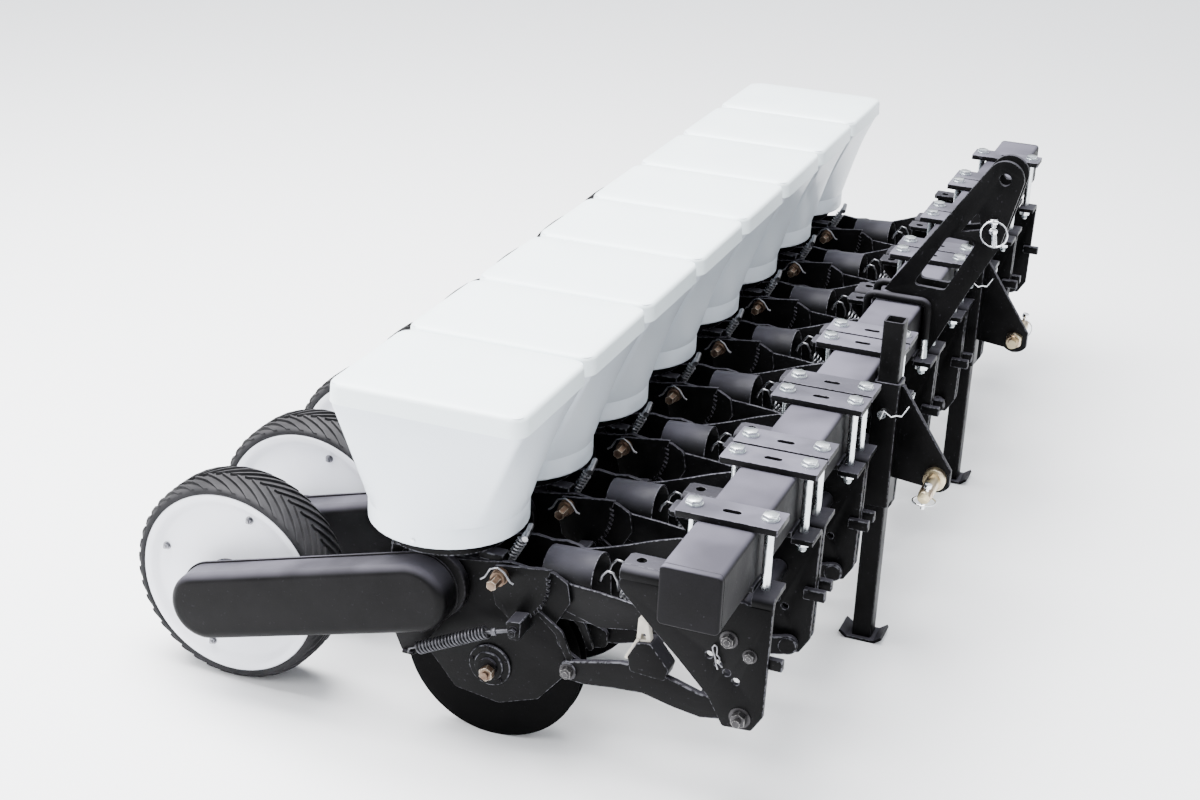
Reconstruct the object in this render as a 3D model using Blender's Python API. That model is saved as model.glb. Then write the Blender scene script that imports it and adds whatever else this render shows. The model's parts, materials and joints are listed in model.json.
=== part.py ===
"""Eight-row seed planter for a tractor's three-point hitch.

Metres, +Z up, +X towards the tractor, +Y along the toolbar. The origin is on the ground below the
middle of the machine. Lengths along X are first measured from the toolbar's middle plane, and
heights from its top face, and place() carries them into the frame of the whole machine.
"""

import math

import bmesh
import bpy
from mathutils import Matrix, Vector

# ---------------------------------------------------------------- driving sizes

ROWS = 8
ROW_PITCH = 0.300
GAP = 0.0003
RUNNING_GAP = 0.0015
MERGE = 0.00001
SINK = 0.0005

# toolbar
BAR_SIZE = 0.1016
BAR_OVERHANG = 0.3125
BAR_WALL = 0.008
BAR_TOP_HEIGHT = 0.582
DRAIN_RADIUS = 0.010

# mount brackets and their clamps
NEIGHBOUR_SPACE = 0.020
BRACKET_THICKNESS = 0.010
BRACKET_FRONT_REACH = 0.0392
BRACKET_REAR_REACH = 0.1092
CLAMP_INSET = 0.0275
CLAMP_OVERHANG = 0.022
CLAMP_WIDTH = 0.068
CLAMP_THICKNESS = 0.012
CLAMP_BOLT_RADIUS = 0.008
CLAMP_BOLT_OFFSET = 0.0132
BOLT_HEAD_HEIGHT = 0.010
BOLT_TAIL = 0.024
LUG_DROP = 0.0104
LUG_THICKNESS = 0.010

# parallel linkage: the pivots on the mount, and the level of each link's rear pivot below them
LOWER_PIVOT = (0.050, -0.342)
UPPER_PIVOT = (0.020, -0.200)
LINK_LENGTH = 0.335
LINK_DROP = 0.030
PIN_RADIUS = 0.009
PIN_REACH = 0.024
LOWER_ARM_FRONT_GAP = 0.006
LOWER_ARM_REAR_GAP = 0.004
LOWER_ARM_THICKNESS = 0.012
LOWER_ARM_DEPTH = 0.036
CROSS_TUBE_RADIUS = 0.016
LOWER_CROSS_TUBE = (-0.075, -0.020)
TUNNEL_GAP = 0.007
TUNNEL_WALL = 0.006
TUNNEL_LEG = 0.022

# row frame: what lies along X is behind the lower link's rear pivot
FRAME_SPREAD = 0.116
FRAME_PLATE = 0.008
DISC_DIAMETER = 0.343
DISC_FRONT = 0.0015
DISC_THICKNESS = 0.004
DISC_SPACING = 0.028
DISC_AXLE_RADIUS = 0.016
HOUSING_STEP = 0.015
HOUSING_HEIGHT = 0.024

# hopper and lid
HOPPER_REAR = 0.265
NECK_STEP = 0.005
NECK_BOTTOM = -0.161
NECK_HEIGHT = 0.038
HOPPER_WALL = 0.004
LID_REAR = 0.249
LID_LENGTH = 0.366
LID_SIDE_SPACE = 0.004
LID_TOP = 0.116
LID_HEIGHT = 0.040
LID_WALL = 0.004
LID_CORNER = 0.030
RIM_CLEARANCE = 0.002
RIM_REACH = 0.030

# wheel arm and wheel
ARM_PIVOT_REAR = 0.270
ARM_PIVOT_HEIGHT = -0.262
ARM_LENGTH = 0.423
WHEEL_RADIUS = 0.203
WHEEL_WIDTH = 0.108
WHEEL_SIDE_GAP = 0.010
AXLE_RADIUS = 0.013
CASE_RADIUS = 0.066
CASE_DEPTH = 0.060
CASE_GAP = 0.015
PIVOT_PIN_RADIUS = 0.018
PIVOT_PIN_REACH = 0.020

# mast
MAST_SPREAD = 0.052
MAST_PLATE = 0.010
MAST_TIP = (0.188, 0.289)
MAST_TIP_RADIUS = 0.038
MAST_HOLE_RADIUS = 0.0127
MAST_SPACER_RADIUS = 0.015
MAST_SPACER = (0.181, 0.188)

# lower hitch and stands
HITCH_ROWS = 3
HITCH_INSET = 0.0375
HITCH_PLATE = 0.012
HITCH_PIN = (0.186, -0.205)
HITCH_TIP_RADIUS = 0.032
HITCH_PIN_RADIUS = 0.014
HITCH_PIN_LENGTH = 0.110
HITCH_COLLAR_RADIUS = 0.022
SLEEVE_WALL = 0.0045
SLEEVE_TOP = -0.022
SLEEVE_BOTTOM = -0.282
STAND_SIZE = 0.040
STAND_WALL = 0.004
STAND_TOP = 0.100
FOOT_LENGTH = 0.090
FOOT_WIDTH = 0.060
FOOT_THICKNESS = 0.006

# ---------------------------------------------------------------- places worked out from them

HALF_BAR = BAR_SIZE / 2
BAR_LENGTH = (ROWS - 1) * ROW_PITCH + 2 * BAR_OVERHANG
BRACKET_SPREAD = ROW_PITCH - NEIGHBOUR_SPACE
BRACKET_FRONT = HALF_BAR + BRACKET_FRONT_REACH
BRACKET_REAR = -HALF_BAR - BRACKET_REAR_REACH
CLAMP_SPREAD = BRACKET_SPREAD - 2 * CLAMP_INSET
CLAMP_BOLT_SPACING = BAR_SIZE + 2 * CLAMP_BOLT_OFFSET
CLAMP_LENGTH = CLAMP_BOLT_SPACING + 2 * CLAMP_OVERHANG
LUG_HEIGHT = -BAR_SIZE - LUG_DROP
HITCH_SPREAD = HITCH_ROWS * ROW_PITCH - 2 * HITCH_INSET
LOWER_REAR = (LOWER_PIVOT[0] - LINK_LENGTH, LOWER_PIVOT[1] - LINK_DROP)
UPPER_REAR = (UPPER_PIVOT[0] - LINK_LENGTH, UPPER_PIVOT[1] - LINK_DROP)
LOWER_ARM_FRONT_SPREAD = BRACKET_SPREAD - BRACKET_THICKNESS - LOWER_ARM_THICKNESS - 2 * LOWER_ARM_FRONT_GAP
LOWER_ARM_REAR_SPREAD = FRAME_SPREAD + FRAME_PLATE + LOWER_ARM_THICKNESS + 2 * LOWER_ARM_REAR_GAP
TUNNEL_WIDTH = FRAME_SPREAD - FRAME_PLATE - 2 * TUNNEL_GAP
DISC_CENTRE = (LOWER_REAR[0] + DISC_FRONT - DISC_DIAMETER / 2, DISC_DIAMETER / 2 - BAR_TOP_HEIGHT)
HOPPER_CENTRE = LOWER_REAR[0] - HOPPER_REAR
LID_CENTRE = LOWER_REAR[0] - LID_REAR
LID_WIDTH = ROW_PITCH - LID_SIDE_SPACE
NECK_RADIUS = LID_WIDTH / 2 - NECK_STEP
HOUSING_RADIUS = NECK_RADIUS - HOUSING_STEP
ARM_PIVOT = (LOWER_REAR[0] - ARM_PIVOT_REAR, ARM_PIVOT_HEIGHT)
WHEEL_X = ARM_PIVOT[0] - ARM_LENGTH
WHEEL_Z = WHEEL_RADIUS - BAR_TOP_HEIGHT
REAR_END = WHEEL_X - WHEEL_RADIUS
FRONT_END = max(HITCH_PIN[0] + HITCH_TIP_RADIUS, MAST_TIP[0] + MAST_TIP_RADIUS)
MIDDLE_X = (FRONT_END + REAR_END) / 2
ROW_PLACES = [(row - (ROWS - 1) / 2) * ROW_PITCH for row in range(ROWS)]
LID_BOTTOM = LID_TOP - LID_HEIGHT
LID_HINGE = (LID_CENTRE - LID_LENGTH / 2 - 0.004, LID_BOTTOM)
STAND_X = HALF_BAR + SLEEVE_WALL + GAP + STAND_SIZE / 2 + RUNNING_GAP / 2
FRAME_OUTER = FRAME_SPREAD / 2 + FRAME_PLATE / 2
CASE_INNER = max(FRAME_OUTER + CASE_GAP, WHEEL_WIDTH / 2 + WHEEL_SIDE_GAP)
ARM_TILT = math.atan2(WHEEL_Z - ARM_PIVOT[1], WHEEL_X - ARM_PIVOT[0])


def place(x, y, z):
    """A point given from the toolbar's middle plane and top face, in the machine's frame."""
    return Vector((x - MIDDLE_X, y, z + BAR_TOP_HEIGHT))


# ---------------------------------------------------------------- scene and materials

for existing in list(bpy.data.objects):
    bpy.data.objects.remove(existing, do_unlink=True)

planter = bpy.data.collections.new("row_planter")
cutters = bpy.data.collections.new("cutters")
bpy.context.scene.collection.children.link(planter)
bpy.context.scene.collection.children.link(cutters)


def material(name, colour, roughness, metallic=0.0):
    made = bpy.data.materials.new(name)
    made.use_nodes = True
    shader = made.node_tree.nodes["Principled BSDF"]
    shader.inputs["Base Color"].default_value = (*colour, 1.0)
    shader.inputs["Roughness"].default_value = roughness
    shader.inputs["Metallic"].default_value = metallic
    return made


BLACK_PAINT = material("black_paint", (0.018, 0.018, 0.020), 0.45)
BAR_PAINT = material("bar_paint", (0.045, 0.044, 0.048), 0.55)
WHITE_HOPPER = material("white_hopper", (0.86, 0.89, 0.92), 0.30)
WHITE_LID = material("white_lid", (0.90, 0.93, 0.95), 0.28)
CASE_PAINT = material("case_paint", (0.020, 0.020, 0.022), 0.40)
TYRE_RUBBER = material("tyre_rubber", (0.040, 0.040, 0.042), 0.80)


# ---------------------------------------------------------------- shapes

def keep(name, mesh, finish, at=(0.0, 0.0, 0.0)):
    """A named piece in the planter's collection."""
    made = bpy.data.objects.new(name, mesh)
    made.location = at
    if not mesh.materials:
        mesh.materials.append(finish)
    planter.objects.link(made)
    return made


def helper(name, mesh):
    """A cutter, or a solid that another piece takes in."""
    made = bpy.data.objects.new(name, mesh)
    made.hide_render = True
    made.display_type = "WIRE"
    cutters.objects.link(made)
    return made


def mesh_from(name, working):
    """The mesh of a bmesh whose faces are made to point outwards."""
    bmesh.ops.recalc_face_normals(working, faces=working.faces)
    mesh = bpy.data.meshes.new(name)
    working.to_mesh(mesh)
    working.free()
    return mesh


def box(name, low, high):
    """A box between two corners."""
    working = bmesh.new()
    size = [b - a for a, b in zip(low, high)]
    middle = [(a + b) / 2 for a, b in zip(low, high)]
    place_box = Matrix.Translation(middle) @ Matrix.Diagonal((*size, 1.0))
    bmesh.ops.create_cube(working, size=1.0, matrix=place_box)
    return mesh_from(name, working)


def rod(name, radius, start, end, sides=8):
    """A round bar between two points."""
    first = Vector(start)
    last = Vector(end)
    turn = (last - first).to_track_quat("Z", "Y").to_matrix().to_4x4()
    working = bmesh.new()
    bmesh.ops.create_cone(
        working, cap_ends=True, segments=sides, radius1=radius, radius2=radius,
        depth=(last - first).length, matrix=Matrix.Translation((first + last) / 2) @ turn)
    return mesh_from(name, working)


def cross_rod(name, radius, spot, half_width, sides=8):
    """A round bar along Y, centred on the row, through a point in the XZ plane."""
    return rod(name, radius, (spot[0], -half_width, spot[1]), (spot[0], half_width, spot[1]), sides)


def plate(name, outlines, thickness, middle_y=0.0):
    """A flat plate standing in the XZ plane. The outlines after the first are windows in it."""
    curve = bpy.data.curves.new(name, "CURVE")
    curve.dimensions = "2D"
    curve.fill_mode = "BOTH"
    curve.extrude = thickness / 2
    for outline in outlines:
        spline = curve.splines.new("POLY")
        spline.points.add(len(outline) - 1)
        for point, (x, z) in zip(spline.points, outline):
            point.co = (x, z, 0.0, 1.0)
        spline.use_cyclic_u = True
    flat = bpy.data.objects.new(name, curve)
    bpy.context.scene.collection.objects.link(flat)
    bpy.context.view_layer.update()
    solid = bpy.data.meshes.new_from_object(flat.evaluated_get(bpy.context.evaluated_depsgraph_get()))
    bpy.data.objects.remove(flat)
    working = bmesh.new()
    working.from_mesh(solid)
    bmesh.ops.remove_doubles(working, verts=working.verts, dist=MERGE)
    bmesh.ops.transform(
        working, verts=working.verts,
        matrix=Matrix.Translation((0, middle_y, 0)) @ Matrix.Rotation(math.pi / 2, 4, "X"))
    return mesh_from(name, working)


def arc(centre, radius, first_degrees, last_degrees, steps):
    """Points along an arc in the XZ plane."""
    turn = [math.radians(first_degrees + (last_degrees - first_degrees) * i / steps)
            for i in range(steps + 1)]
    return [(centre[0] + radius * math.cos(a), centre[1] + radius * math.sin(a)) for a in turn]


def ring(centre, radius, sides=8):
    """A closed round outline."""
    return arc(centre, radius, 0, 360, sides)[:-1]


def combine(name, base, joined=(), cut=(), solver="EXACT"):
    """One mesh: the base with solids joined to it, and then others cut from it."""
    body = helper(name + "_base", base)
    tools = []
    for operation, meshes in (("UNION", joined), ("DIFFERENCE", cut)):
        for number, mesh in enumerate(meshes):
            tool = helper(f"{name}_{operation.lower()}_{number}", mesh)
            step = body.modifiers.new(tool.name, "BOOLEAN")
            step.operation = operation
            step.solver = solver
            step.object = tool
            tools.append(tool)
    bpy.context.view_layer.update()
    result = bpy.data.meshes.new_from_object(body.evaluated_get(bpy.context.evaluated_depsgraph_get()))
    result.name = name
    for used in [body, *tools]:
        bpy.data.objects.remove(used)
    return result


def moved(mesh, x=0.0, y=0.0, z=0.0):
    """A copy of a mesh, shifted."""
    copy = mesh.copy()
    copy.transform(Matrix.Translation((x, y, z)))
    return copy


def about(mesh, spot):
    """The same mesh measured from a pivot in the XZ plane."""
    mesh.transform(Matrix.Translation((-spot[0], 0, -spot[1])))
    return mesh


# ---------------------------------------------------------------- toolbar with brackets and hitch

def bracket(name, side):
    """One bent bracket plate of a row's mount, with its flange under the bar and the pivot pins."""
    y = side * BRACKET_SPREAD / 2
    top = -BAR_SIZE + 2 * SINK
    outline = [
        (BRACKET_FRONT, LUG_HEIGHT), (BRACKET_FRONT - 0.004, LOWER_PIVOT[1] + 0.010),
        (LOWER_PIVOT[0] + 0.020, LOWER_PIVOT[1] - 0.018),
        (LOWER_PIVOT[0] - 0.022, LOWER_PIVOT[1] - 0.020),
        (-0.010, LOWER_PIVOT[1] + 0.030), (-0.068, LOWER_PIVOT[1] + 0.090),
        (BRACKET_REAR + 0.020, -0.190), (BRACKET_REAR, -0.150), (BRACKET_REAR, top),
        (HALF_BAR - SINK, top), (HALF_BAR - SINK, LUG_HEIGHT),
    ]
    inner = y - side * BRACKET_THICKNESS / 2
    ends = sorted((y, side * (CLAMP_SPREAD - CLAMP_WIDTH) / 2))
    front_lug = box("front_lug", (HALF_BAR - 0.010, ends[0], LUG_HEIGHT - LUG_THICKNESS),
                    (BRACKET_FRONT - SINK, ends[1], LUG_HEIGHT - SINK))
    rear_flange = box("rear_flange", (BRACKET_REAR + SINK, ends[0], top - LUG_THICKNESS),
                      (-HALF_BAR + 0.010, ends[1], top - SINK))
    pins = [rod("pin", PIN_RADIUS, (pivot[0], y, pivot[1]), (pivot[0], inner - side * PIN_REACH, pivot[1]), 6)
            for pivot in (LOWER_PIVOT, UPPER_PIVOT)]
    stop = box("stop", (BRACKET_FRONT - 0.016, min(inner, y), -0.240),
               (BRACKET_FRONT + 0.018, max(inner, y) - SINK, -0.222))
    return combine(name, plate("bracket_plate", [outline], BRACKET_THICKNESS, y),
                   [front_lug, rear_flange, *pins, stop])


def clamp(name, side):
    """A clamp plate on the bar and its two long bolts."""
    y = side * CLAMP_SPREAD / 2
    half = CLAMP_WIDTH / 2
    slab = box("clamp_plate", (-CLAMP_LENGTH / 2, y - half, -2 * SINK),
               (CLAMP_LENGTH / 2, y + half, CLAMP_THICKNESS))
    low = LUG_HEIGHT - LUG_THICKNESS - BOLT_TAIL
    high = CLAMP_THICKNESS + BOLT_HEAD_HEIGHT
    bolts = [rod("bolt", CLAMP_BOLT_RADIUS, (x, y, low), (x, y, high), 6)
             for x in (CLAMP_BOLT_SPACING / 2, -CLAMP_BOLT_SPACING / 2)]
    return combine(name, slab, bolts)


def hitch_side(name, side):
    """A lower hitch plate with its pin, welded to the sleeve of a stand."""
    y = side * HITCH_SPREAD / 2
    sleeve_half = STAND_SIZE / 2 + RUNNING_GAP / 2 + SLEEVE_WALL
    sleeve = box("sleeve", (HALF_BAR - 0.001, y - sleeve_half, SLEEVE_BOTTOM),
                 (STAND_X + sleeve_half, y + sleeve_half, SLEEVE_TOP))
    front = STAND_X + sleeve_half
    outline = [(front - 0.002, HITCH_PIN[1] - 0.005), (front - 0.002, SLEEVE_TOP - 0.010),
               *arc(HITCH_PIN, HITCH_TIP_RADIUS, 28, -125, 8)]
    pin = rod("hitch_pin", HITCH_PIN_RADIUS, (HITCH_PIN[0], y, HITCH_PIN[1]),
              (HITCH_PIN[0], y + side * HITCH_PIN_LENGTH, HITCH_PIN[1]), 12)
    collar = rod("collar", HITCH_COLLAR_RADIUS, (HITCH_PIN[0], y, HITCH_PIN[1]),
                 (HITCH_PIN[0], y + side * 0.030, HITCH_PIN[1]), 12)
    return combine(name, sleeve, [plate("hitch_plate", [outline], HITCH_PLATE, y), collar, pin])


def stand_hole(side):
    """The square hole that the stand slides in."""
    y = side * HITCH_SPREAD / 2
    half = STAND_SIZE / 2 + RUNNING_GAP / 2
    return box("stand_hole", (STAND_X - half, y - half, SLEEVE_BOTTOM - 0.01),
               (STAND_X + half, y + half, SLEEVE_TOP + 0.01))


def toolbar():
    """The bar, with everything that is clamped or welded to it for good."""
    half = BAR_LENGTH / 2
    bar = box("bar", (-HALF_BAR, -half, -BAR_SIZE), (HALF_BAR, half, 0))
    hollow = box("hollow", (-HALF_BAR + BAR_WALL, -half + BAR_WALL, -BAR_SIZE + BAR_WALL),
                 (HALF_BAR - BAR_WALL, half - BAR_WALL, -BAR_WALL))
    drain = rod("drain", DRAIN_RADIUS, (0, 0, -BAR_SIZE - 0.01), (0, 0, -BAR_WALL * 2), 12)
    brackets = {side: bracket("bracket", side) for side in (-1, 1)}
    clamps = {side: clamp("clamp", side) for side in (-1, 1)}
    joined = []
    for y in ROW_PLACES:
        for side in (-1, 1):
            joined.append(moved(brackets[side], y=y))
            clamp_y = y + side * CLAMP_SPREAD / 2
            if abs(clamp_y) > CLAMP_WIDTH:
                joined.append(moved(clamps[side], y=y))
    holes = []
    for side in (-1, 1):
        joined.append(hitch_side("hitch_side", side))
        holes.append(stand_hole(side))
    solid = combine("toolbar", bar, joined, [hollow, drain, *holes], "MANIFOLD")
    return keep("toolbar", solid, BAR_PAINT, place(0, 0, 0))


# ---------------------------------------------------------------- mast and stands

def mast():
    """The top link's mast: two plates joined by a foot on the bar and a spacer."""
    front = HALF_BAR + GAP
    apron_low = -BAR_SIZE + 0.0026
    outline = [
        (-0.034, GAP), (front, GAP), (front, apron_low), (front + 0.019, apron_low),
        (0.138, 0.042), (0.192, 0.148), (0.226, 0.199),
        *arc(MAST_TIP, MAST_TIP_RADIUS, 0, 148, 7),
    ]
    window = [(0.026, 0.042), (0.093, 0.040), (0.145, 0.150), (0.086, 0.153)]
    gusset = [(0.112, 0.171), (0.150, 0.180), (0.142, 0.213)]
    hole = ring(MAST_TIP, MAST_HOLE_RADIUS)
    half = MAST_SPREAD / 2
    near, far = (plate("mast_plate", [outline, window, gusset, hole], MAST_PLATE, y) for y in (-half, half))
    foot = box("mast_foot", (-0.034, -half, GAP), (HALF_BAR, half, 0.012))
    apron = box("mast_apron", (front, -half, apron_low), (front + 0.010, half, -0.010))
    spacer = cross_rod("mast_spacer", MAST_SPACER_RADIUS, MAST_SPACER, half)
    return keep("mast", combine("mast", near, [far, foot, apron, spacer]), BLACK_PAINT, place(0, 0, 0))


def stand(name, side):
    """A parking stand: a square tube on a foot plate, which slides up through its sleeve."""
    half = STAND_SIZE / 2
    bottom = -BAR_TOP_HEIGHT
    tube = box("tube", (-half, -half, bottom + FOOT_THICKNESS / 2), (half, half, STAND_TOP))
    inside = box("inside", (-half + STAND_WALL, -half + STAND_WALL, bottom + FOOT_THICKNESS * 2),
                 (half - STAND_WALL, half - STAND_WALL, STAND_TOP + 0.01))
    foot = box("foot", (-FOOT_LENGTH / 2, -FOOT_WIDTH / 2, bottom),
               (FOOT_LENGTH / 2, FOOT_WIDTH / 2, bottom + FOOT_THICKNESS))
    return keep(name, combine(name, tube, [foot], [inside]), BLACK_PAINT,
                place(STAND_X, side * HITCH_SPREAD / 2, 0))


# ---------------------------------------------------------------- one row

def lower_link_mesh():
    """Two curved arms on a cross tube, closer together at the rear. It is measured from its front pivot."""
    radius = LOWER_ARM_DEPTH / 2
    tilt = math.degrees(math.atan2(LINK_DROP, LINK_LENGTH))
    rear = (-LINK_LENGTH, -LINK_DROP)
    outline = [
        *arc((0, 0), radius, -90, 70, 2),
        (LINK_LENGTH * -0.28, 0.006), (LINK_LENGTH * -0.65, 0.004),
        *arc(rear, radius, 90 + tilt, 270, 3),
        (LINK_LENGTH * -0.68, -0.046), (LINK_LENGTH * -0.38, -0.044),
    ]
    turn = math.atan2(LOWER_ARM_FRONT_SPREAD - LOWER_ARM_REAR_SPREAD, 2 * LINK_LENGTH)
    arms = []
    for side in (-1, 1):
        arm = plate("arm", [outline], LOWER_ARM_THICKNESS)
        arm.transform(Matrix.Rotation(side * turn, 4, "Z"))
        arms.append(moved(arm, y=side * LOWER_ARM_FRONT_SPREAD / 2))
    reach = LOWER_ARM_FRONT_SPREAD / 2 - LOWER_ARM_THICKNESS
    tube = cross_rod("cross_tube", CROSS_TUBE_RADIUS, LOWER_CROSS_TUBE, reach, 6)
    bores = [cross_rod("bore", PIN_RADIUS + RUNNING_GAP, spot, LOWER_ARM_FRONT_SPREAD)
             for spot in ((0, 0), rear)]
    return combine("lower_link", arms[0], [arms[1], tube], bores)


def upper_link_mesh():
    """A tunnel-topped channel with a cross tube at its front end. It is measured from its front pivot."""
    half = TUNNEL_WIDTH / 2
    outer = [(-half, -TUNNEL_LEG), *arc((0, 0), half, 180, 0, 6), (half, -TUNNEL_LEG)]
    inner_half = half - TUNNEL_WALL
    inner = [(inner_half, -TUNNEL_LEG), *arc((0, 0), inner_half, 0, 180, 6), (-inner_half, -TUNNEL_LEG)]
    rear = (-LINK_LENGTH, -LINK_DROP)
    first = 0.012
    last = LINK_LENGTH + 0.014
    channel = plate("channel", [outer + inner], last + first)
    channel.transform(Matrix.Translation(((first - last) / 2, 0, 0)) @ Matrix.Rotation(math.pi / 2, 4, "Z"))
    channel.transform(Matrix.Rotation(-math.atan2(LINK_DROP, LINK_LENGTH), 4, "Y"))
    reach = (BRACKET_SPREAD - BRACKET_THICKNESS) / 2 - RUNNING_GAP
    tube = cross_rod("cross_tube", CROSS_TUBE_RADIUS, (0, 0), reach)
    rear_boss = cross_rod("rear_boss", CROSS_TUBE_RADIUS, rear, half)
    bores = [cross_rod("bore", PIN_RADIUS + RUNNING_GAP, spot, BRACKET_SPREAD)
             for spot in ((0, 0), rear)]
    return combine("upper_link", channel, [tube, rear_boss], bores)


def row_frame_mesh():
    """Side plates, the seed meter's housing, the shank and the pair of opener discs."""
    x = LOWER_REAR[0]
    hub_x, hub_z = DISC_CENTRE
    outline = [
        (x - 0.343, -0.245), (x - 0.321, -0.180), (x - 0.155, -0.180),
        (UPPER_REAR[0] - 0.020, UPPER_REAR[1] + 0.032),
        (UPPER_REAR[0] + 0.024, UPPER_REAR[1] + 0.014), (UPPER_REAR[0] + 0.008, UPPER_REAR[1] - 0.060),
        (x + 0.020, LOWER_REAR[1] + 0.018), (x + 0.020, LOWER_REAR[1] - 0.022),
        (hub_x + 0.110, hub_z - 0.0495), (hub_x + 0.035, hub_z - 0.0745), (hub_x - 0.055, hub_z - 0.0595),
        (min(hub_x, x - 0.170) - 0.105, hub_z + 0.0105), (x - 0.321, -0.340),
    ]
    plates = [plate("side_plate", [outline], FRAME_PLATE, side * FRAME_SPREAD / 2) for side in (-1, 1)]
    housing = rod("housing", HOUSING_RADIUS, (HOPPER_CENTRE, 0, NECK_BOTTOM - HOUSING_HEIGHT),
                  (HOPPER_CENTRE, 0, NECK_BOTTOM - GAP), 12)
    discs = [rod("disc", DISC_DIAMETER / 2, (DISC_CENTRE[0], y - DISC_THICKNESS / 2, DISC_CENTRE[1]),
                 (DISC_CENTRE[0], y + DISC_THICKNESS / 2, DISC_CENTRE[1]), 18)
             for y in (-DISC_SPACING / 2, DISC_SPACING / 2)]
    axle = cross_rod("axle", DISC_AXLE_RADIUS, DISC_CENTRE, FRAME_OUTER + 0.012)
    shank = box("shank", (x - 0.125, -0.011, 0.034 - BAR_TOP_HEIGHT), (x - 0.087, 0.011, -0.330))
    web = box("web", (x - 0.135, -FRAME_SPREAD / 2, -0.350), (x - 0.085, FRAME_SPREAD / 2, -0.326))
    rear_pin = cross_rod("rear_pin", PIN_RADIUS, UPPER_REAR, FRAME_SPREAD / 2)
    lower_reach = LOWER_ARM_REAR_SPREAD / 2 + LOWER_ARM_THICKNESS
    lower_pins = cross_rod("lower_pins", PIN_RADIUS, LOWER_REAR, lower_reach)
    arm_pin = rod("arm_pin", PIVOT_PIN_RADIUS, (ARM_PIVOT[0], -CASE_INNER - PIVOT_PIN_REACH, ARM_PIVOT[1]),
                  (ARM_PIVOT[0], -FRAME_SPREAD / 2, ARM_PIVOT[1]), 10)
    return combine("row_frame", plates[0],
                   [plates[1], housing, *discs, axle, shank, web, rear_pin, lower_pins, arm_pin])


def rounded_corners(length, width, corner, steps):
    """The points round a rectangle with rounded corners, centred on the origin, from the +X +Y corner."""
    points = []
    for quarter, (along, across) in enumerate(((1, 1), (-1, 1), (-1, -1), (1, -1))):
        centre = (along * (length / 2 - corner), across * (width / 2 - corner))
        points += arc(centre, corner, 90 * quarter, 90 * quarter + 90, steps)
    return points


def neck_ring(radius, steps):
    """The points round the neck that face the corner points above them."""
    points = []
    for quarter in range(4):
        points += arc((0, 0), radius, 90 * quarter + 4, 90 * quarter + 86, steps)
    return points


CORNER_STEPS = 3


def loft(name, sections):
    """A closed solid through sections of equal count, each (points, x of its centre, z)."""
    working = bmesh.new()
    rings = []
    for points, centre, z in sections:
        rings.append([working.verts.new((centre + x, y, z)) for x, y in points])
    count = len(rings[0])
    for lower, upper in zip(rings, rings[1:]):
        for i in range(count):
            working.faces.new((lower[i], lower[(i + 1) % count], upper[(i + 1) % count], upper[i]))
    working.faces.new(rings[0])
    working.faces.new(rings[-1])
    return mesh_from(name, working)


def hopper_mesh():
    """A seed hopper: a rectangle above, which a lid covers, drawn down to a round neck."""
    rim_length = LID_LENGTH - 2 * (LID_WALL + RIM_CLEARANCE)
    rim_width = LID_WIDTH - 2 * (LID_WALL + RIM_CLEARANCE)
    neck_top = NECK_BOTTOM + NECK_HEIGHT
    rim_bottom = LID_TOP - LID_WALL - RIM_REACH
    rim_top = LID_TOP - LID_WALL - GAP

    def sections(inset, bottom, top):
        corner = LID_CORNER - LID_WALL - inset
        rim = rounded_corners(rim_length - 2 * inset, rim_width - 2 * inset, corner, CORNER_STEPS)
        neck = neck_ring(NECK_RADIUS - inset, CORNER_STEPS)
        return [(neck, HOPPER_CENTRE, bottom), (neck, HOPPER_CENTRE, neck_top),
                (rim, LID_CENTRE, rim_bottom), (rim, LID_CENTRE, top)]

    outside = loft("hopper_outside", sections(0.0, NECK_BOTTOM, rim_top))
    inside = loft("hopper_inside", sections(HOPPER_WALL, NECK_BOTTOM + HOPPER_WALL, rim_top + 0.01))
    return combine("hopper", outside, cut=[inside])


def lid_mesh():
    """A lid with a skirt all round. It is measured from its hinge."""
    outline = rounded_corners(LID_LENGTH, LID_WIDTH, LID_CORNER, CORNER_STEPS)
    inner = rounded_corners(LID_LENGTH - 2 * LID_WALL, LID_WIDTH - 2 * LID_WALL,
                            LID_CORNER - LID_WALL, CORNER_STEPS)
    outside = loft("lid_outside", [(outline, LID_CENTRE, LID_BOTTOM), (outline, LID_CENTRE, LID_TOP)])
    inside = loft("lid_inside", [(inner, LID_CENTRE, LID_BOTTOM - 0.01),
                                 (inner, LID_CENTRE, LID_TOP - LID_WALL)])
    return about(combine("lid", outside, cut=[inside]), LID_HINGE)


def wheel_arm_mesh():
    """The chain case that carries the wheel. It is measured from its pivot on the row frame."""
    rear = (WHEEL_X - ARM_PIVOT[0], WHEEL_Z - ARM_PIVOT[1])
    tilt = math.degrees(ARM_TILT)
    outline = [*arc((0, 0), CASE_RADIUS, tilt + 90, tilt + 270, 7),
               *arc(rear, CASE_RADIUS, tilt - 90, tilt + 90, 7)]
    middle = -CASE_INNER - CASE_DEPTH / 2
    case = plate("case", [outline], CASE_DEPTH, middle)
    axle_end = WHEEL_WIDTH / 2 + 0.006
    axle = rod("axle", AXLE_RADIUS, (rear[0], middle, rear[1]), (rear[0], axle_end, rear[1]), 10)
    pivot_hole = rod("pivot_hole", PIVOT_PIN_RADIUS + RUNNING_GAP, (0, -CASE_INNER + 0.01, 0),
                     (0, -CASE_INNER - PIVOT_PIN_REACH - 0.001, 0), 10)
    return combine("wheel_arm", case, [axle], [pivot_hole])


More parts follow.
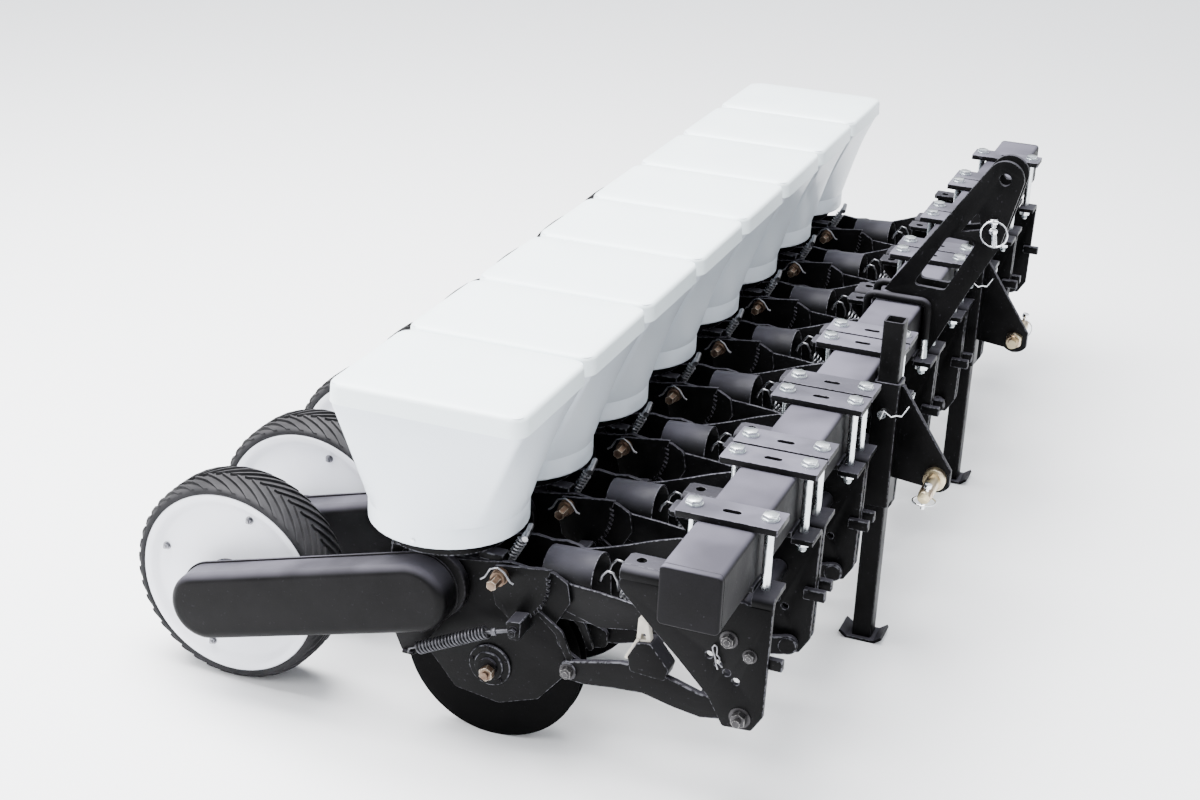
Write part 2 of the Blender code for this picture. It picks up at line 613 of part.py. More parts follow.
def wheel_mesh():
    """A rim with its tyre, turned round the axle. It is measured from its centre."""
    half = WHEEL_WIDTH / 2
    bore = AXLE_RADIUS + RUNNING_GAP
    profile = [(bore, half), (WHEEL_RADIUS - 0.008, half), (WHEEL_RADIUS, half - 0.014)]
    points = profile + [(radius, -height) for radius, height in reversed(profile)]
    working = bmesh.new()
    verts = [working.verts.new((radius, 0, height)) for radius, height in points]
    working.faces.new(verts)
    bmesh.ops.spin(working, geom=working.faces[:] + working.edges[:] + working.verts[:],
                   angle=math.tau, steps=20, axis=(0, 0, 1), cent=(0, 0, 0), use_merge=True)
    bmesh.ops.remove_doubles(working, verts=working.verts, dist=MERGE)
    inner_faces = [f for f in working.faces if len(f.verts) == len(points)]
    bmesh.ops.delete(working, geom=inner_faces, context="FACES_ONLY")
    bmesh.ops.transform(working, verts=working.verts, matrix=Matrix.Rotation(math.pi / 2, 4, "X"))
    return mesh_from("wheel", working)


def rows():
    """All rows, each of its own objects that share the meshes."""
    lower_link = lower_link_mesh()
    upper_link = upper_link_mesh()
    row_frame = row_frame_mesh()
    hopper = hopper_mesh()
    lid = lid_mesh()
    wheel_arm = wheel_arm_mesh()
    wheel = wheel_mesh()
    for number, y in enumerate(ROW_PLACES, start=1):
        keep(f"lower_link_{number}", lower_link, BLACK_PAINT, place(LOWER_PIVOT[0], y, LOWER_PIVOT[1]))
        keep(f"upper_link_{number}", upper_link, BLACK_PAINT, place(UPPER_PIVOT[0], y, UPPER_PIVOT[1]))
        keep(f"row_frame_{number}", row_frame, BLACK_PAINT, place(0, y, 0))
        keep(f"hopper_{number}", hopper, WHITE_HOPPER, place(0, y, 0))
        keep(f"lid_{number}", lid, WHITE_LID, place(LID_HINGE[0], y, LID_HINGE[1]))
        keep(f"wheel_arm_{number}", wheel_arm, CASE_PAINT, place(ARM_PIVOT[0], y, ARM_PIVOT[1]))
        keep(f"wheel_{number}", wheel, TYRE_RUBBER, place(WHEEL_X, y, WHEEL_Z))


toolbar()
mast()
for stand_name, stand_side in (("stand_left", -1), ("stand_right", 1)):
    stand(stand_name, stand_side)
rows()
for piece in planter.objects:
    piece.data.shade_smooth()
    piece.data.set_sharp_from_angle(angle=math.radians(30))
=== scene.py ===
"""Looks of an eight-row seed planter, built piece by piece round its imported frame.

Metres, +Z up, +X towards the tractor, +Y along the toolbar. Each piece is drawn about its own row,
with x measured from the toolbar's middle plane and z from the toolbar's top face.
"""

import json
import math

import bmesh
import bpy
from mathutils import Matrix, Vector


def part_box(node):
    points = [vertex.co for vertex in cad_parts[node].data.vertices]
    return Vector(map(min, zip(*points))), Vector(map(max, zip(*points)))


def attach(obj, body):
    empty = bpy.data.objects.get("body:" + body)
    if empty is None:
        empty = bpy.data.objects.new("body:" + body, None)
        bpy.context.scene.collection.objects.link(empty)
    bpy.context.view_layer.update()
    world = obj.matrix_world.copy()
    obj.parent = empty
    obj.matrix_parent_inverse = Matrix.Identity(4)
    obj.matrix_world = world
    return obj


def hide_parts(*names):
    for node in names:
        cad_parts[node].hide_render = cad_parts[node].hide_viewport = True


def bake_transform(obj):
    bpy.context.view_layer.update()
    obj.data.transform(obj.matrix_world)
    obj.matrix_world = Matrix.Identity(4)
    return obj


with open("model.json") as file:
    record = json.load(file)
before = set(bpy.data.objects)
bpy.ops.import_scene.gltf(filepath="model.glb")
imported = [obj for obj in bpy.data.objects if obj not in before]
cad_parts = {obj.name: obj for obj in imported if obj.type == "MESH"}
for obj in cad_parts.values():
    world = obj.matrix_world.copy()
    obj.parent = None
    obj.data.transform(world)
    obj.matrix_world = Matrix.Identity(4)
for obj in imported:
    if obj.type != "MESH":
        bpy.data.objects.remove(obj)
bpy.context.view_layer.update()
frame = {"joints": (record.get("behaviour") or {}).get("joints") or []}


# ---------------------------------------------------------------- toolbar
# The bar is a cold-formed 4 inch square steel tube with rounded edges and a welded plate on each
# end, painted satin black, with dust and a painted highlight lightening its top. Everything else is clamped
# to it.

BAR = 0.1016
BAR_CORNER = 0.009
LINK_PIVOT = (0.050, -0.342)


def joint_place(name):
    """Where a joint's axis is at rest."""
    return Vector(next(joint["pos_m"] for joint in frame["joints"] if joint["name"] == name))


ROWS = sum(joint["name"].startswith("lower_link_") for joint in frame["joints"])
FIRST = joint_place("lower_link_1_lift")
ROW_Y = [joint_place(f"lower_link_{number}_lift").y for number in range(1, ROWS + 1)]
ORIGIN = Vector((FIRST.x - LINK_PIVOT[0], 0, FIRST.z - LINK_PIVOT[1]))
GROUND = -ORIGIN.z
BAR_HALF_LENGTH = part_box("toolbar")[1].y


def surface_group():
    """How paint, plastic and rubber vary: mottling, dust with a painted highlight on upward faces, edge wear
    with a painted edge highlight, specks and grain.
    """
    group = bpy.data.node_groups.new("surface_wear", "ShaderNodeTree")
    face = group.interface
    for name, kind, value in (
            ("Base", "NodeSocketColor", (0.05, 0.05, 0.05, 1)),
            ("Shade", "NodeSocketColor", (0.03, 0.03, 0.03, 1)),
            ("Dust", "NodeSocketColor", (0.3, 0.29, 0.3, 1)),
            ("Edge", "NodeSocketColor", (0.3, 0.3, 0.32, 1)),
            ("Dust Amount", "NodeSocketFloat", 0.3), ("Edge Amount", "NodeSocketFloat", 0.5),
            ("Speck Amount", "NodeSocketFloat", 0.1), ("Scale", "NodeSocketFloat", 14.0),
            ("Grain", "NodeSocketFloat", 400.0), ("Low Roughness", "NodeSocketFloat", 0.35),
            ("High Roughness", "NodeSocketFloat", 0.55)):
        face.new_socket(name=name, in_out="INPUT", socket_type=kind).default_value = value
    results = (("Color", "NodeSocketColor"), ("Roughness", "NodeSocketFloat"), ("Height", "NodeSocketFloat"))
    for name, kind in results:
        face.new_socket(name=name, in_out="OUTPUT", socket_type=kind)
    nodes = group.nodes
    links = group.links
    given = nodes.new("NodeGroupInput")
    result = nodes.new("NodeGroupOutput")
    where = nodes.new("ShaderNodeTexCoord").outputs["Object"]

    def noise(scale_from, factor, detail):
        times = nodes.new("ShaderNodeMath")
        times.operation = "MULTIPLY"
        times.inputs[1].default_value = factor
        links.new(given.outputs[scale_from], times.inputs[0])
        made = nodes.new("ShaderNodeTexNoise")
        made.inputs["Detail"].default_value = detail
        links.new(where, made.inputs["Vector"])
        links.new(times.outputs[0], made.inputs["Scale"])
        return made.outputs["Fac"]

    def ramp(value, low, high, to_low=0.0, to_high=1.0):
        made = nodes.new("ShaderNodeMapRange")
        made.interpolation_type = "SMOOTHSTEP"
        made.inputs["From Min"].default_value = low
        made.inputs["From Max"].default_value = high
        made.inputs["To Min"].default_value = to_low
        made.inputs["To Max"].default_value = to_high
        links.new(value, made.inputs["Value"])
        return made.outputs["Result"]

    def times(first, second):
        made = nodes.new("ShaderNodeMath")
        made.operation = "MULTIPLY"
        links.new(first, made.inputs[0])
        links.new(second, made.inputs[1])
        return made.outputs[0]

    def mix(factor, first, second):
        made = nodes.new("ShaderNodeMix")
        made.data_type = "RGBA"
        links.new(factor, made.inputs["Factor"])
        links.new(first, made.inputs[6])
        links.new(second, made.inputs[7])
        return made.outputs[2]

    mottle = noise("Scale", 1.0, 6.0)
    patches = ramp(noise("Scale", 0.35, 3.0), 0.35, 0.65, 0.45, 1.0)
    fine = noise("Scale", 9.0, 4.0)
    # Faces turned up take the dust colour in patches: partly dust that settles there, partly a painted
    # highlight where tops catch the overhead light and sky.
    up = nodes.new("ShaderNodeSeparateXYZ")
    links.new(nodes.new("ShaderNodeNewGeometry").outputs["Normal"], up.inputs[0])
    dust_and_top_highlight = times(times(ramp(up.outputs["Z"], 0.25, 0.98), patches), given.outputs["Dust Amount"])
    # Rounded edge faces take the edge colour in noisy patches: partly rubbed paint, partly a painted edge
    # highlight.
    worn_and_highlit_edge = nodes.new("ShaderNodeAttribute")
    worn_and_highlit_edge.attribute_name = "worn_and_highlit_edge"
    edge_wear_and_highlight = times(times(worn_and_highlit_edge.outputs["Fac"], ramp(fine, 0.40, 0.60)), given.outputs["Edge Amount"])
    specks = times(ramp(fine, 0.66, 0.72), given.outputs["Speck Amount"])
    colour = mix(ramp(mottle, 0.3, 0.7), given.outputs["Shade"], given.outputs["Base"])
    colour = mix(dust_and_top_highlight, colour, given.outputs["Dust"])
    colour = mix(specks, colour, given.outputs["Dust"])
    colour = mix(edge_wear_and_highlight, colour, given.outputs["Edge"])
    links.new(colour, result.inputs["Color"])
    spread = nodes.new("ShaderNodeMapRange")
    links.new(mottle, spread.inputs["Value"])
    spread.inputs["From Min"].default_value = 0.3
    spread.inputs["From Max"].default_value = 0.7
    links.new(given.outputs["Low Roughness"], spread.inputs["To Min"])
    links.new(given.outputs["High Roughness"], spread.inputs["To Max"])
    links.new(spread.outputs["Result"], result.inputs["Roughness"])
    links.new(noise("Grain", 1.0, 2.0), result.inputs["Height"])
    return group


SURFACE = surface_group()


def finish(name, base, shade, low, high, metallic=0.0, bump=0.05, coat=0.0, specular=0.5, **wear):
    """A material whose colour, gloss and fine relief all vary over its surface."""
    made = bpy.data.materials.new(name)
    made.use_nodes = True
    nodes = made.node_tree.nodes
    links = made.node_tree.links
    shader = nodes["Principled BSDF"]
    shader.inputs["Metallic"].default_value = metallic
    shader.inputs["Specular IOR Level"].default_value = specular
    if coat:
        shader.inputs["Coat Weight"].default_value = coat
        shader.inputs["Coat Roughness"].default_value = 0.12
    surface = nodes.new("ShaderNodeGroup")
    surface.node_tree = SURFACE
    values = {"Base": (*base, 1), "Shade": (*shade, 1), "Low Roughness": low, "High Roughness": high, **wear}
    for socket, value in values.items():
        if isinstance(value, tuple) and len(value) == 3:
            value = (*value, 1)
        surface.inputs[socket.replace("_", " ")].default_value = value
    relief = nodes.new("ShaderNodeBump")
    relief.inputs["Strength"].default_value = bump
    relief.inputs["Distance"].default_value = 0.002
    links.new(surface.outputs["Color"], shader.inputs["Base Color"])
    links.new(surface.outputs["Roughness"], shader.inputs["Roughness"])
    links.new(surface.outputs["Height"], relief.inputs["Height"])
    links.new(relief.outputs["Normal"], shader.inputs["Normal"])
    return made


# A light blue-grey dust colour on upward faces: dust on the bar's top, with a painted highlight where the top
# catches the light.
BAR_PAINT = finish(
    "toolbar_paint", (0.0065, 0.0062, 0.0072), (0.0035, 0.0034, 0.0038), 0.44, 0.62, bump=0.12, specular=0.07,
    Dust=(0.125, 0.119, 0.150), Dust_Amount=0.85, Edge=(0.10, 0.095, 0.115), Edge_Amount=0.25,
    Speck_Amount=0.10, Scale=11.0, Grain=260.0)


def arc(centre, radius, first, last, steps):
    """Points along an arc, between two angles in degrees."""
    turn = [math.radians(first + (last - first) * i / steps) for i in range(steps + 1)]
    return [(centre[0] + radius * math.cos(a), centre[1] + radius * math.sin(a)) for a in turn]


def round_hole(centre, radius, sides=24):
    """A closed round outline."""
    return arc(centre, radius, 0, 360, sides)[:-1]


def eased(points, radius, steps=5):
    """An outline with each corner drawn as an arc."""
    corners = [Vector(point) for point in points]
    result = []
    for i, corner in enumerate(corners):
        back = corners[i - 1] - corner
        ahead = corners[(i + 1) % len(corners)] - corner
        half = back.angle(ahead) / 2
        reach = min(radius / math.tan(half), back.length * 0.45, ahead.length * 0.45)
        start = corner + back.normalized() * reach
        end = corner + ahead.normalized() * reach
        for step in range(steps + 1):
            share = step / steps
            result.append(tuple(start.lerp(corner, share).lerp(corner.lerp(end, share), share)))
    return result


def slab(outline, low, high, holes=(), plane="xz"):
    """A flat plate: an outline with holes, filled and drawn out between two values across its plane."""
    orders = {"xz": lambda a, b, c: (a, c, b), "xy": lambda a, b, c: (a, b, c),
              "yz": lambda a, b, c: (c, a, b)}
    order = orders[plane]
    shape = bmesh.new()
    for loop in (outline, *holes):
        verts = [shape.verts.new(order(a, b, low)) for a, b in loop]
        for first, second in zip(verts, verts[1:] + verts[:1]):
            shape.edges.new((first, second))
    bmesh.ops.triangle_fill(shape, use_beauty=True, edges=shape.edges[:])
    grown = bmesh.ops.extrude_face_region(shape, geom=shape.faces[:])
    verts = [item for item in grown["geom"] if isinstance(item, bmesh.types.BMVert)]
    bmesh.ops.translate(shape, verts=verts, vec=Vector(order(0, 0, high - low)))
    bmesh.ops.dissolve_limit(shape, angle_limit=0.005, verts=shape.verts[:], edges=shape.edges[:])
    bmesh.ops.recalc_face_normals(shape, faces=shape.faces[:])
    return shape


def block(low, high):
    """A box between two corners."""
    shape = bmesh.new()
    size = [b - a for a, b in zip(low, high)]
    middle = [(a + b) / 2 for a, b in zip(low, high)]
    bmesh.ops.create_cube(shape, size=1.0, matrix=Matrix.Translation(middle) @ Matrix.Diagonal((*size, 1.0)))
    return shape


def rod(start, end, radius, sides=20, end_radius=None):
    """A round bar, or a cone, between two points."""
    first = Vector(start)
    last = Vector(end)
    turn = (last - first).to_track_quat("Z", "Y").to_matrix().to_4x4()
    shape = bmesh.new()
    bmesh.ops.create_cone(
        shape, cap_ends=True, segments=sides, radius1=radius,
        radius2=radius if end_radius is None else end_radius,
        depth=(last - first).length, matrix=Matrix.Translation((first + last) / 2) @ turn)
    return shape


def soften(shape, width, segments=2, angle=28):
    """Rounds the sharp edges, and marks the rounded faces so that the finish can show wear and a painted edge
    highlight there.
    """
    worn_and_highlit_edge = shape.faces.layers.float.get("worn_and_highlit_edge") or shape.faces.layers.float.new("worn_and_highlit_edge")
    sharp = [edge for edge in shape.edges
             if len(edge.link_faces) == 2 and edge.calc_face_angle(0.0) > math.radians(angle)]
    made = bmesh.ops.bevel(shape, geom=sharp, offset=width, segments=segments, profile=0.5,
                           affect="EDGES", material=-1, clamp_overlap=True)
    for face in made["faces"]:
        face[worn_and_highlit_edge] = 1.0
    return shape


def gather(*shapes):
    """One bmesh of several loose solids."""
    whole = shapes[0]
    for shape in shapes[1:]:
        part = bpy.data.meshes.new("part")
        shape.to_mesh(part)
        shape.free()
        whole.from_mesh(part)
        bpy.data.meshes.remove(part)
    return whole


def shifted(shape, x=0.0, y=0.0, z=0.0):
    """A shape moved to another place."""
    bmesh.ops.translate(shape, verts=shape.verts[:], vec=(x, y, z))
    return shape


def turned(shape, angle, axis, centre=(0, 0, 0)):
    """A shape turned about a line along an axis."""
    bmesh.ops.rotate(shape, verts=shape.verts[:], cent=centre, matrix=Matrix.Rotation(angle, 3, axis))
    return shape


def mirrored(shape, side):
    """The same shape on the -Y side where side is -1."""
    if side < 0:
        bmesh.ops.scale(shape, verts=shape.verts[:], vec=(1, -1, 1))
        bmesh.ops.recalc_face_normals(shape, faces=shape.faces[:])
    return shape


def put(name, shape, material, body, y=0.0, smooth=38, stands_for=()):
    """A finished piece: its place in its mesh, riding on a body of the planter."""
    mesh = bpy.data.meshes.new(name)
    shape.to_mesh(mesh)
    mesh.transform(Matrix.Translation(ORIGIN + Vector((0, y, 0))))
    mesh.materials.append(material)
    mesh.shade_smooth()
    mesh.set_sharp_from_angle(angle=math.radians(smooth))
    piece = bpy.data.objects.new(name, mesh)
    bpy.context.scene.collection.objects.link(piece)
    if body:
        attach(piece, body)
    if stands_for:
        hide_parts(*stands_for)
    return piece


def per_row(name, shape, material, body, stands_for=None, smooth=38):
    """The same piece on every row, each with a mesh of its own, on the frame or on the row's body."""
    for number, y in enumerate(ROW_Y, start=1):
        put(f"{name}_{number}", shape, material, body if body == "frame" else f"{body}_{number}", y,
            smooth, [f"{stands_for}_{number}"] if stands_for else ())
    shape.free()


bar = block((-BAR / 2, -BAR_HALF_LENGTH, -BAR), (BAR / 2, BAR_HALF_LENGTH, 0))
long_edges = [edge for edge in bar.edges if abs((edge.verts[0].co - edge.verts[1].co).y) > BAR]
bmesh.ops.bevel(bar, geom=long_edges, offset=BAR_CORNER, segments=5, profile=0.5, affect="EDGES", material=-1)
end_edges = [edge for edge in bar.edges if len({round(vert.co.y, 4) for vert in edge.verts}) == 1]
bmesh.ops.bevel(bar, geom=end_edges, offset=0.004, segments=3, profile=0.5, affect="EDGES", material=-1)
put("toolbar_tube", bar, BAR_PAINT, "frame", stands_for=["toolbar"])


MERGE = 0.00001


def wire(points, radius, closed=False, sides=3):
    """A bent round wire through points, made a mesh with its ends closed."""
    curve = bpy.data.curves.new("wire", "CURVE")
    curve.dimensions = "3D"
    curve.bevel_depth = radius
    curve.bevel_resolution = sides
    curve.use_fill_caps = not closed
    spline = curve.splines.new("POLY")
    spline.points.add(len(points) - 1)
    for point, place in zip(spline.points, points):
        point.co = (*place, 1.0)
    spline.use_cyclic_u = closed
    holder = bpy.data.objects.new("wire", curve)
    bpy.context.scene.collection.objects.link(holder)
    bpy.context.view_layer.update()
    mesh = bpy.data.meshes.new_from_object(holder.evaluated_get(bpy.context.evaluated_depsgraph_get()))
    bpy.data.objects.remove(holder)
    shape = bmesh.new()
    shape.from_mesh(mesh)
    bpy.data.meshes.remove(mesh)
    bmesh.ops.remove_doubles(shape, verts=shape.verts[:], dist=MERGE)
    bmesh.ops.recalc_face_normals(shape, faces=shape.faces[:])
    return shape


# Its light dust colour on upward faces is dust and a painted highlight.
WELD = finish(
    "weld_bead", (0.0065, 0.0062, 0.0072), (0.0035, 0.0034, 0.0038), 0.4, 0.6, bump=0.5, specular=0.07,
    Dust=(0.11, 0.105, 0.13), Dust_Amount=0.6, Edge_Amount=0.1, Scale=60.0, Grain=900.0)
for side in (-1, 1):
    half = BAR / 2 - 0.0012
    around = eased([(-half, -BAR + 0.0012), (half, -BAR + 0.0012), (half, -0.0012), (-half, -0.0012)], 0.010)
    seam = wire([(x, side * (BAR_HALF_LENGTH - 0.012), z) for x, z in around], 0.0020, closed=True)
    put(f"bar_end_weld_{'near' if side < 0 else 'far'}", seam, WELD, "frame")


# ---------------------------------------------------------------- row mount brackets
# Two bent steel plates carry each row. Their flanges lie under the bar, their lower ends hold the
# link pivots, and a square lug stops the linkage. They are painted black and bolted by the clamps.

BRACKET_Y = 0.140
BRACKET_THICK = 0.010
FLANGE_TOP = -0.112
FLANGE_INNER = 0.0785
UPPER_PIVOT = (0.020, -0.200)

# Its lighter dust colour on upward faces and lighter edge colour are partly dust and wear, partly painted
# highlight.
BLACK_PAINT = finish(
    "black_paint", (0.0034, 0.0033, 0.0036), (0.0018, 0.0018, 0.0019), 0.32, 0.50, bump=0.10, specular=0.06,
    Dust=(0.12, 0.115, 0.14), Dust_Amount=0.45, Edge=(0.16, 0.16, 0.18), Edge_Amount=0.55,
    Speck_Amount=0.10, Scale=16.0, Grain=300.0)


def bend(x_low, x_high, top, y_outer, y_inner, drop, thick):
    """A flange bent inwards from a plate's top, as an L with a rounded corner drawn out along X."""
    radius = 0.014
    corner = (y_outer - radius, top - radius)
    outline = [*arc(corner, radius, 0, 90, 6), (y_inner, top), (y_inner, top - thick),
               *arc(corner, radius - thick, 90, 0, 4), (y_outer - thick, drop), (y_outer, drop)]
    return slab(outline, x_low, x_high, plane="yz")


def bracket_side():
    """One bracket plate with its flanges, on the +Y side of its row."""
    outer = BRACKET_Y + BRACKET_THICK / 2
    inner = BRACKET_Y - BRACKET_THICK / 2
    outline = eased([
        (0.089, -0.130), (0.086, -0.331), (0.068, -0.361), (0.018, -0.364), (-0.010, -0.314),
        (-0.068, -0.254), (-0.120, -0.205), (-0.1735, -0.150), (-0.1735, -0.132), (0.040, -0.128),
        (0.048, -0.130)], 0.006, 3)
    stop_holes = ((0.020, -0.262), (0.036, -0.275), (0.004, -0.249), (-0.012, -0.236))
    holes = [round_hole(spot, 0.0065) for spot in stop_holes]
    plate = soften(slab(outline, inner, outer, holes), 0.0012)
    front = soften(bend(0.0512, 0.0895, FLANGE_TOP, outer, FLANGE_INNER, -0.134, BRACKET_THICK), 0.001)
    turn_in = outer - 0.016
    rear_hole = round_hole((-0.149, 0.107), 0.009)
    rear = slab([(-0.174, turn_in), (-0.174, 0.092), (-0.168, 0.086), (-0.0515, 0.086), (-0.0515, turn_in)],
                FLANGE_TOP - BRACKET_THICK, FLANGE_TOP, [rear_hole], "xy")
    rear_bend = bend(-0.174, -0.0515, FLANGE_TOP, outer, turn_in, -0.134, BRACKET_THICK)
    under = block((-0.0515, FLANGE_INNER, -0.1120), (0.0512, inner + 0.002, -0.1018))
    lug = soften(block((0.070, inner - 0.014, -0.246), (0.109, inner - 0.0005, -0.226)), 0.002)
    return gather(plate, front, soften(rear, 0.001), soften(rear_bend, 0.001), soften(under, 0.001), lug)


brackets = gather(mirrored(bracket_side(), 1), mirrored(bracket_side(), -1))
per_row("mount_bracket", brackets, BLACK_PAINT, "frame")

DARK_BOLT = finish(
    "oiled_bolt", (0.050, 0.048, 0.050), (0.020, 0.019, 0.020), 0.28, 0.5, metallic=0.8, bump=0.1,
    Edge=(0.45, 0.44, 0.43), Edge_Amount=0.6, Dust_Amount=0.15, Scale=60.0, Grain=700.0)


def hexagon(start, end, width):
    """A nut or a bolt head between two points, with its corners eased."""
    shape = rod(start, end, width / math.sqrt(3), 6)
    return soften(shape, width * 0.045, 2, 20)


def bolt_end(place, side, width=0.019, reach=0.018):
    """A nut with a washer and a bolt's end standing out of a face towards side along Y."""
    x, y, z = place
    return gather(
        rod((x, y, z), (x, y + side * 0.0022, z), width * 0.78, 28),
        hexagon((x, y + side * 0.0022, z), (x, y + side * (0.0022 + width * 0.5), z), width),
        soften(rod((x, y, z), (x, y + side * reach, z), width * 0.30, 18), 0.001))


def both_sides(make):
    """A small part on the +Y side and its twin on the -Y side."""
    return gather(make(1), make(-1))


fasteners = both_sides(lambda side: gather(
    bolt_end((LINK_PIVOT[0] - 0.002, side * (BRACKET_Y + 0.005), LINK_PIVOT[1] + 0.002), side, 0.024, 0.024),
    bolt_end((UPPER_PIVOT[0], side * (BRACKET_Y + 0.005), UPPER_PIVOT[1]), side, 0.020, 0.014),
    bolt_end((0.057, side * (BRACKET_Y + 0.005), -0.222), side, 0.016, 0.012)))
per_row("pivot_bolts", fasteners, DARK_BOLT, "frame")

WIRE_STEEL = finish(
    "spring_wire", (0.30, 0.30, 0.32), (0.16, 0.16, 0.17), 0.25, 0.42, metallic=1.0, bump=0.05,
    Dust_Amount=0.1, Edge_Amount=0.0, Scale=80.0, Grain=900.0)
SPRING_STEEL = finish(
    "oiled_spring", (0.085, 0.085, 0.095), (0.04, 0.04, 0.045), 0.30, 0.48, metallic=0.8, bump=0.05,
    Dust=(0.10, 0.09, 0.10), Dust_Amount=0.2, Edge_Amount=0.0, Scale=60.0, Grain=900.0)


def hairpin(place, side, length=0.030, lift=0.010):
    """A spring clip: a loop with two wavy legs, lying against a face across Y."""
    x, y, z = place
    legs = [(length, 0.3), (length * 0.72, -0.1), (length * 0.45, 0.55), (length * 0.2, 0.2), (0.0, 0.75),
            (-length * 0.18, 1.0), (-length * 0.32, 0.6), (-length * 0.28, 0.0), (-length * 0.05, -0.25),
            (length * 0.3, -0.35), (length * 0.62, -0.75), (length * 0.95, -0.9)]
    points = [(x + a * 0.45 + b * lift * 0.6, y + side * 0.004, z - a * 0.9 + b * lift * 0.6)
              for a, b in legs]
    return wire(points, 0.0014)


clips = both_sides(lambda side: hairpin((-0.002, side * (BRACKET_Y + 0.005), -0.226), side))
per_row("stop_clip", clips, WIRE_STEEL, "frame")


# ---------------------------------------------------------------- bar clamps
# A slotted steel strap lies across the bar over each bracket. Two zinc-plated M16 bolts pull it
# down on the bracket's flanges. The middle brackets are held by the mast's U-bolts instead.

CLAMP_Y = 0.1125
CLAMP_WIDTH = 0.068
CLAMP_THICK = 0.012
BOLT_X = 0.064

# Its light blue-grey dust colour on upward faces is dust and a painted highlight; its pale edge colour is
# wear and a painted edge highlight.
CLAMP_PAINT = finish(
    "clamp_paint", (0.0050, 0.0048, 0.0054), (0.0030, 0.0029, 0.0032), 0.36, 0.54, bump=0.10, specular=0.08,
    Dust=(0.135, 0.130, 0.162), Dust_Amount=0.90, Edge=(0.22, 0.21, 0.25), Edge_Amount=0.6,
    Speck_Amount=0.12, Scale=15.0, Grain=280.0)
ZINC = finish(
    "bright_zinc", (0.80, 0.83, 0.84), (0.60, 0.64, 0.66), 0.20, 0.36, metallic=1.0, bump=0.06,
    Dust_Amount=0.05, Edge=(0.9, 0.92, 0.92), Edge_Amount=0.4, Speck_Amount=0.05, Scale=55.0, Grain=500.0)


def strap():
    """One clamp strap with the slot in its middle."""
    half = CLAMP_WIDTH / 2
    outline = eased([(-0.086, -half), (0.086, -half), (0.086, half), (-0.086, half)], 0.003, 3)
    slot = [*arc((0.010, 0), 0.0058, -90, 90, 8), *arc((-0.010, 0), 0.0058, 90, 270, 8)]
    return soften(slab(outline, 0.0003, CLAMP_THICK, [slot], "xy"), 0.0011)


def spun(profile, steps, closed=False):
    """A profile of (radius, z) spun about Z."""
    shape = bmesh.new()
    verts = [shape.verts.new((r, 0, z)) for r, z in profile]
    pairs = list(zip(verts, verts[1:])) + ([(verts[-1], verts[0])] if closed else [])
    edges = [shape.edges.new(pair) for pair in pairs]
    bmesh.ops.spin(shape, geom=verts + edges, angle=math.tau, steps=steps, axis=(0, 0, 1),
                   cent=(0, 0, 0), use_merge=True)
    bmesh.ops.remove_doubles(shape, verts=shape.verts[:], dist=MERGE)
    bmesh.ops.recalc_face_normals(shape, faces=shape.faces[:])
    return shape


def thread(x, y, low, high, radius, pitch=0.002):
    """A threaded length of bolt: a turned rod with a ridge for each turn."""
    ridges = int((high - low) / pitch)
    profile = [(0, high), (radius * 0.8, high)]
    for ridge in range(ridges):
        top = high - 0.001 - ridge * pitch
        profile += [(radius, top), (radius * 0.87, top - pitch / 2)]
    profile += [(radius * 0.8, low), (0, low)]
    return shifted(spun(profile, 14), x, y)


def clamp_bolt(x, y):
    """A hex bolt down through the strap, with a nut under the bracket's flange."""
    nut_top = FLANGE_TOP - BRACKET_THICK
    return gather(
        rod((x, y, CLAMP_THICK), (x, y, CLAMP_THICK + 0.0025), 0.0150, 28),
        hexagon((x, y, CLAMP_THICK + 0.0025), (x, y, CLAMP_THICK + 0.0100), 0.024),
        rod((x, y, nut_top), (x, y, CLAMP_THICK), 0.0080, 20),
        thread(x, y, nut_top - 0.026, nut_top, 0.0078),
        rod((x, y, nut_top - 0.0025), (x, y, nut_top), 0.0140, 28),
        hexagon((x, y, nut_top - 0.0150), (x, y, nut_top - 0.0025), 0.024))


clamp_places = [y + side * CLAMP_Y for y in ROW_Y for side in (-1, 1)]
clamp_places = [y for y in clamp_places if abs(y) > CLAMP_WIDTH]
for number, y in enumerate(clamp_places, start=1):
    put(f"clamp_strap_{number}", strap(), CLAMP_PAINT, "frame", y)
    bolts = gather(clamp_bolt(BOLT_X, 0), clamp_bolt(-BOLT_X, 0))
    put(f"clamp_bolts_{number}", bolts, ZINC, "frame", y)


# ---------------------------------------------------------------- lower hitch and parking stands
# A square sleeve is welded to the bar on each side, with a hitch plate on its front for the
# tractor's lower links. The parking stand slides in the sleeve, held by a pin with a spring clip.

HITCH_Y = 0.4125
STAND_X = 0.07635
HITCH_PIN = (0.186, -0.205)


def square_tube(outer, wall, low, high, x, y):
    """A square tube standing upright, open at both ends."""
    half = outer / 2
    hole = half - wall
    corners = [(-1, -1), (1, -1), (1, 1), (-1, 1)]
    outline = eased([(x + a * half, y + b * half) for a, b in corners], 0.005, 4)
    inside = eased([(x + a * hole, y + b * hole) for a, b in corners], 0.003, 4)
    return soften(slab(outline, low, high, [inside], "xy"), 0.0007)


YELLOW_ZINC = finish(
    "yellow_zinc", (0.62, 0.54, 0.34), (0.46, 0.36, 0.26), 0.22, 0.38, metallic=1.0, bump=0.05,
    Dust=(0.6, 0.45, 0.45), Dust_Amount=0.12, Edge=(0.8, 0.76, 0.6), Edge_Amount=0.4, Scale=40.0)
CHROME = finish(
    "chrome_wire", (0.86, 0.87, 0.89), (0.72, 0.73, 0.76), 0.08, 0.18, metallic=1.0, bump=0.02,
    Dust_Amount=0.0, Edge_Amount=0.0, Speck_Amount=0.0, Scale=60.0)


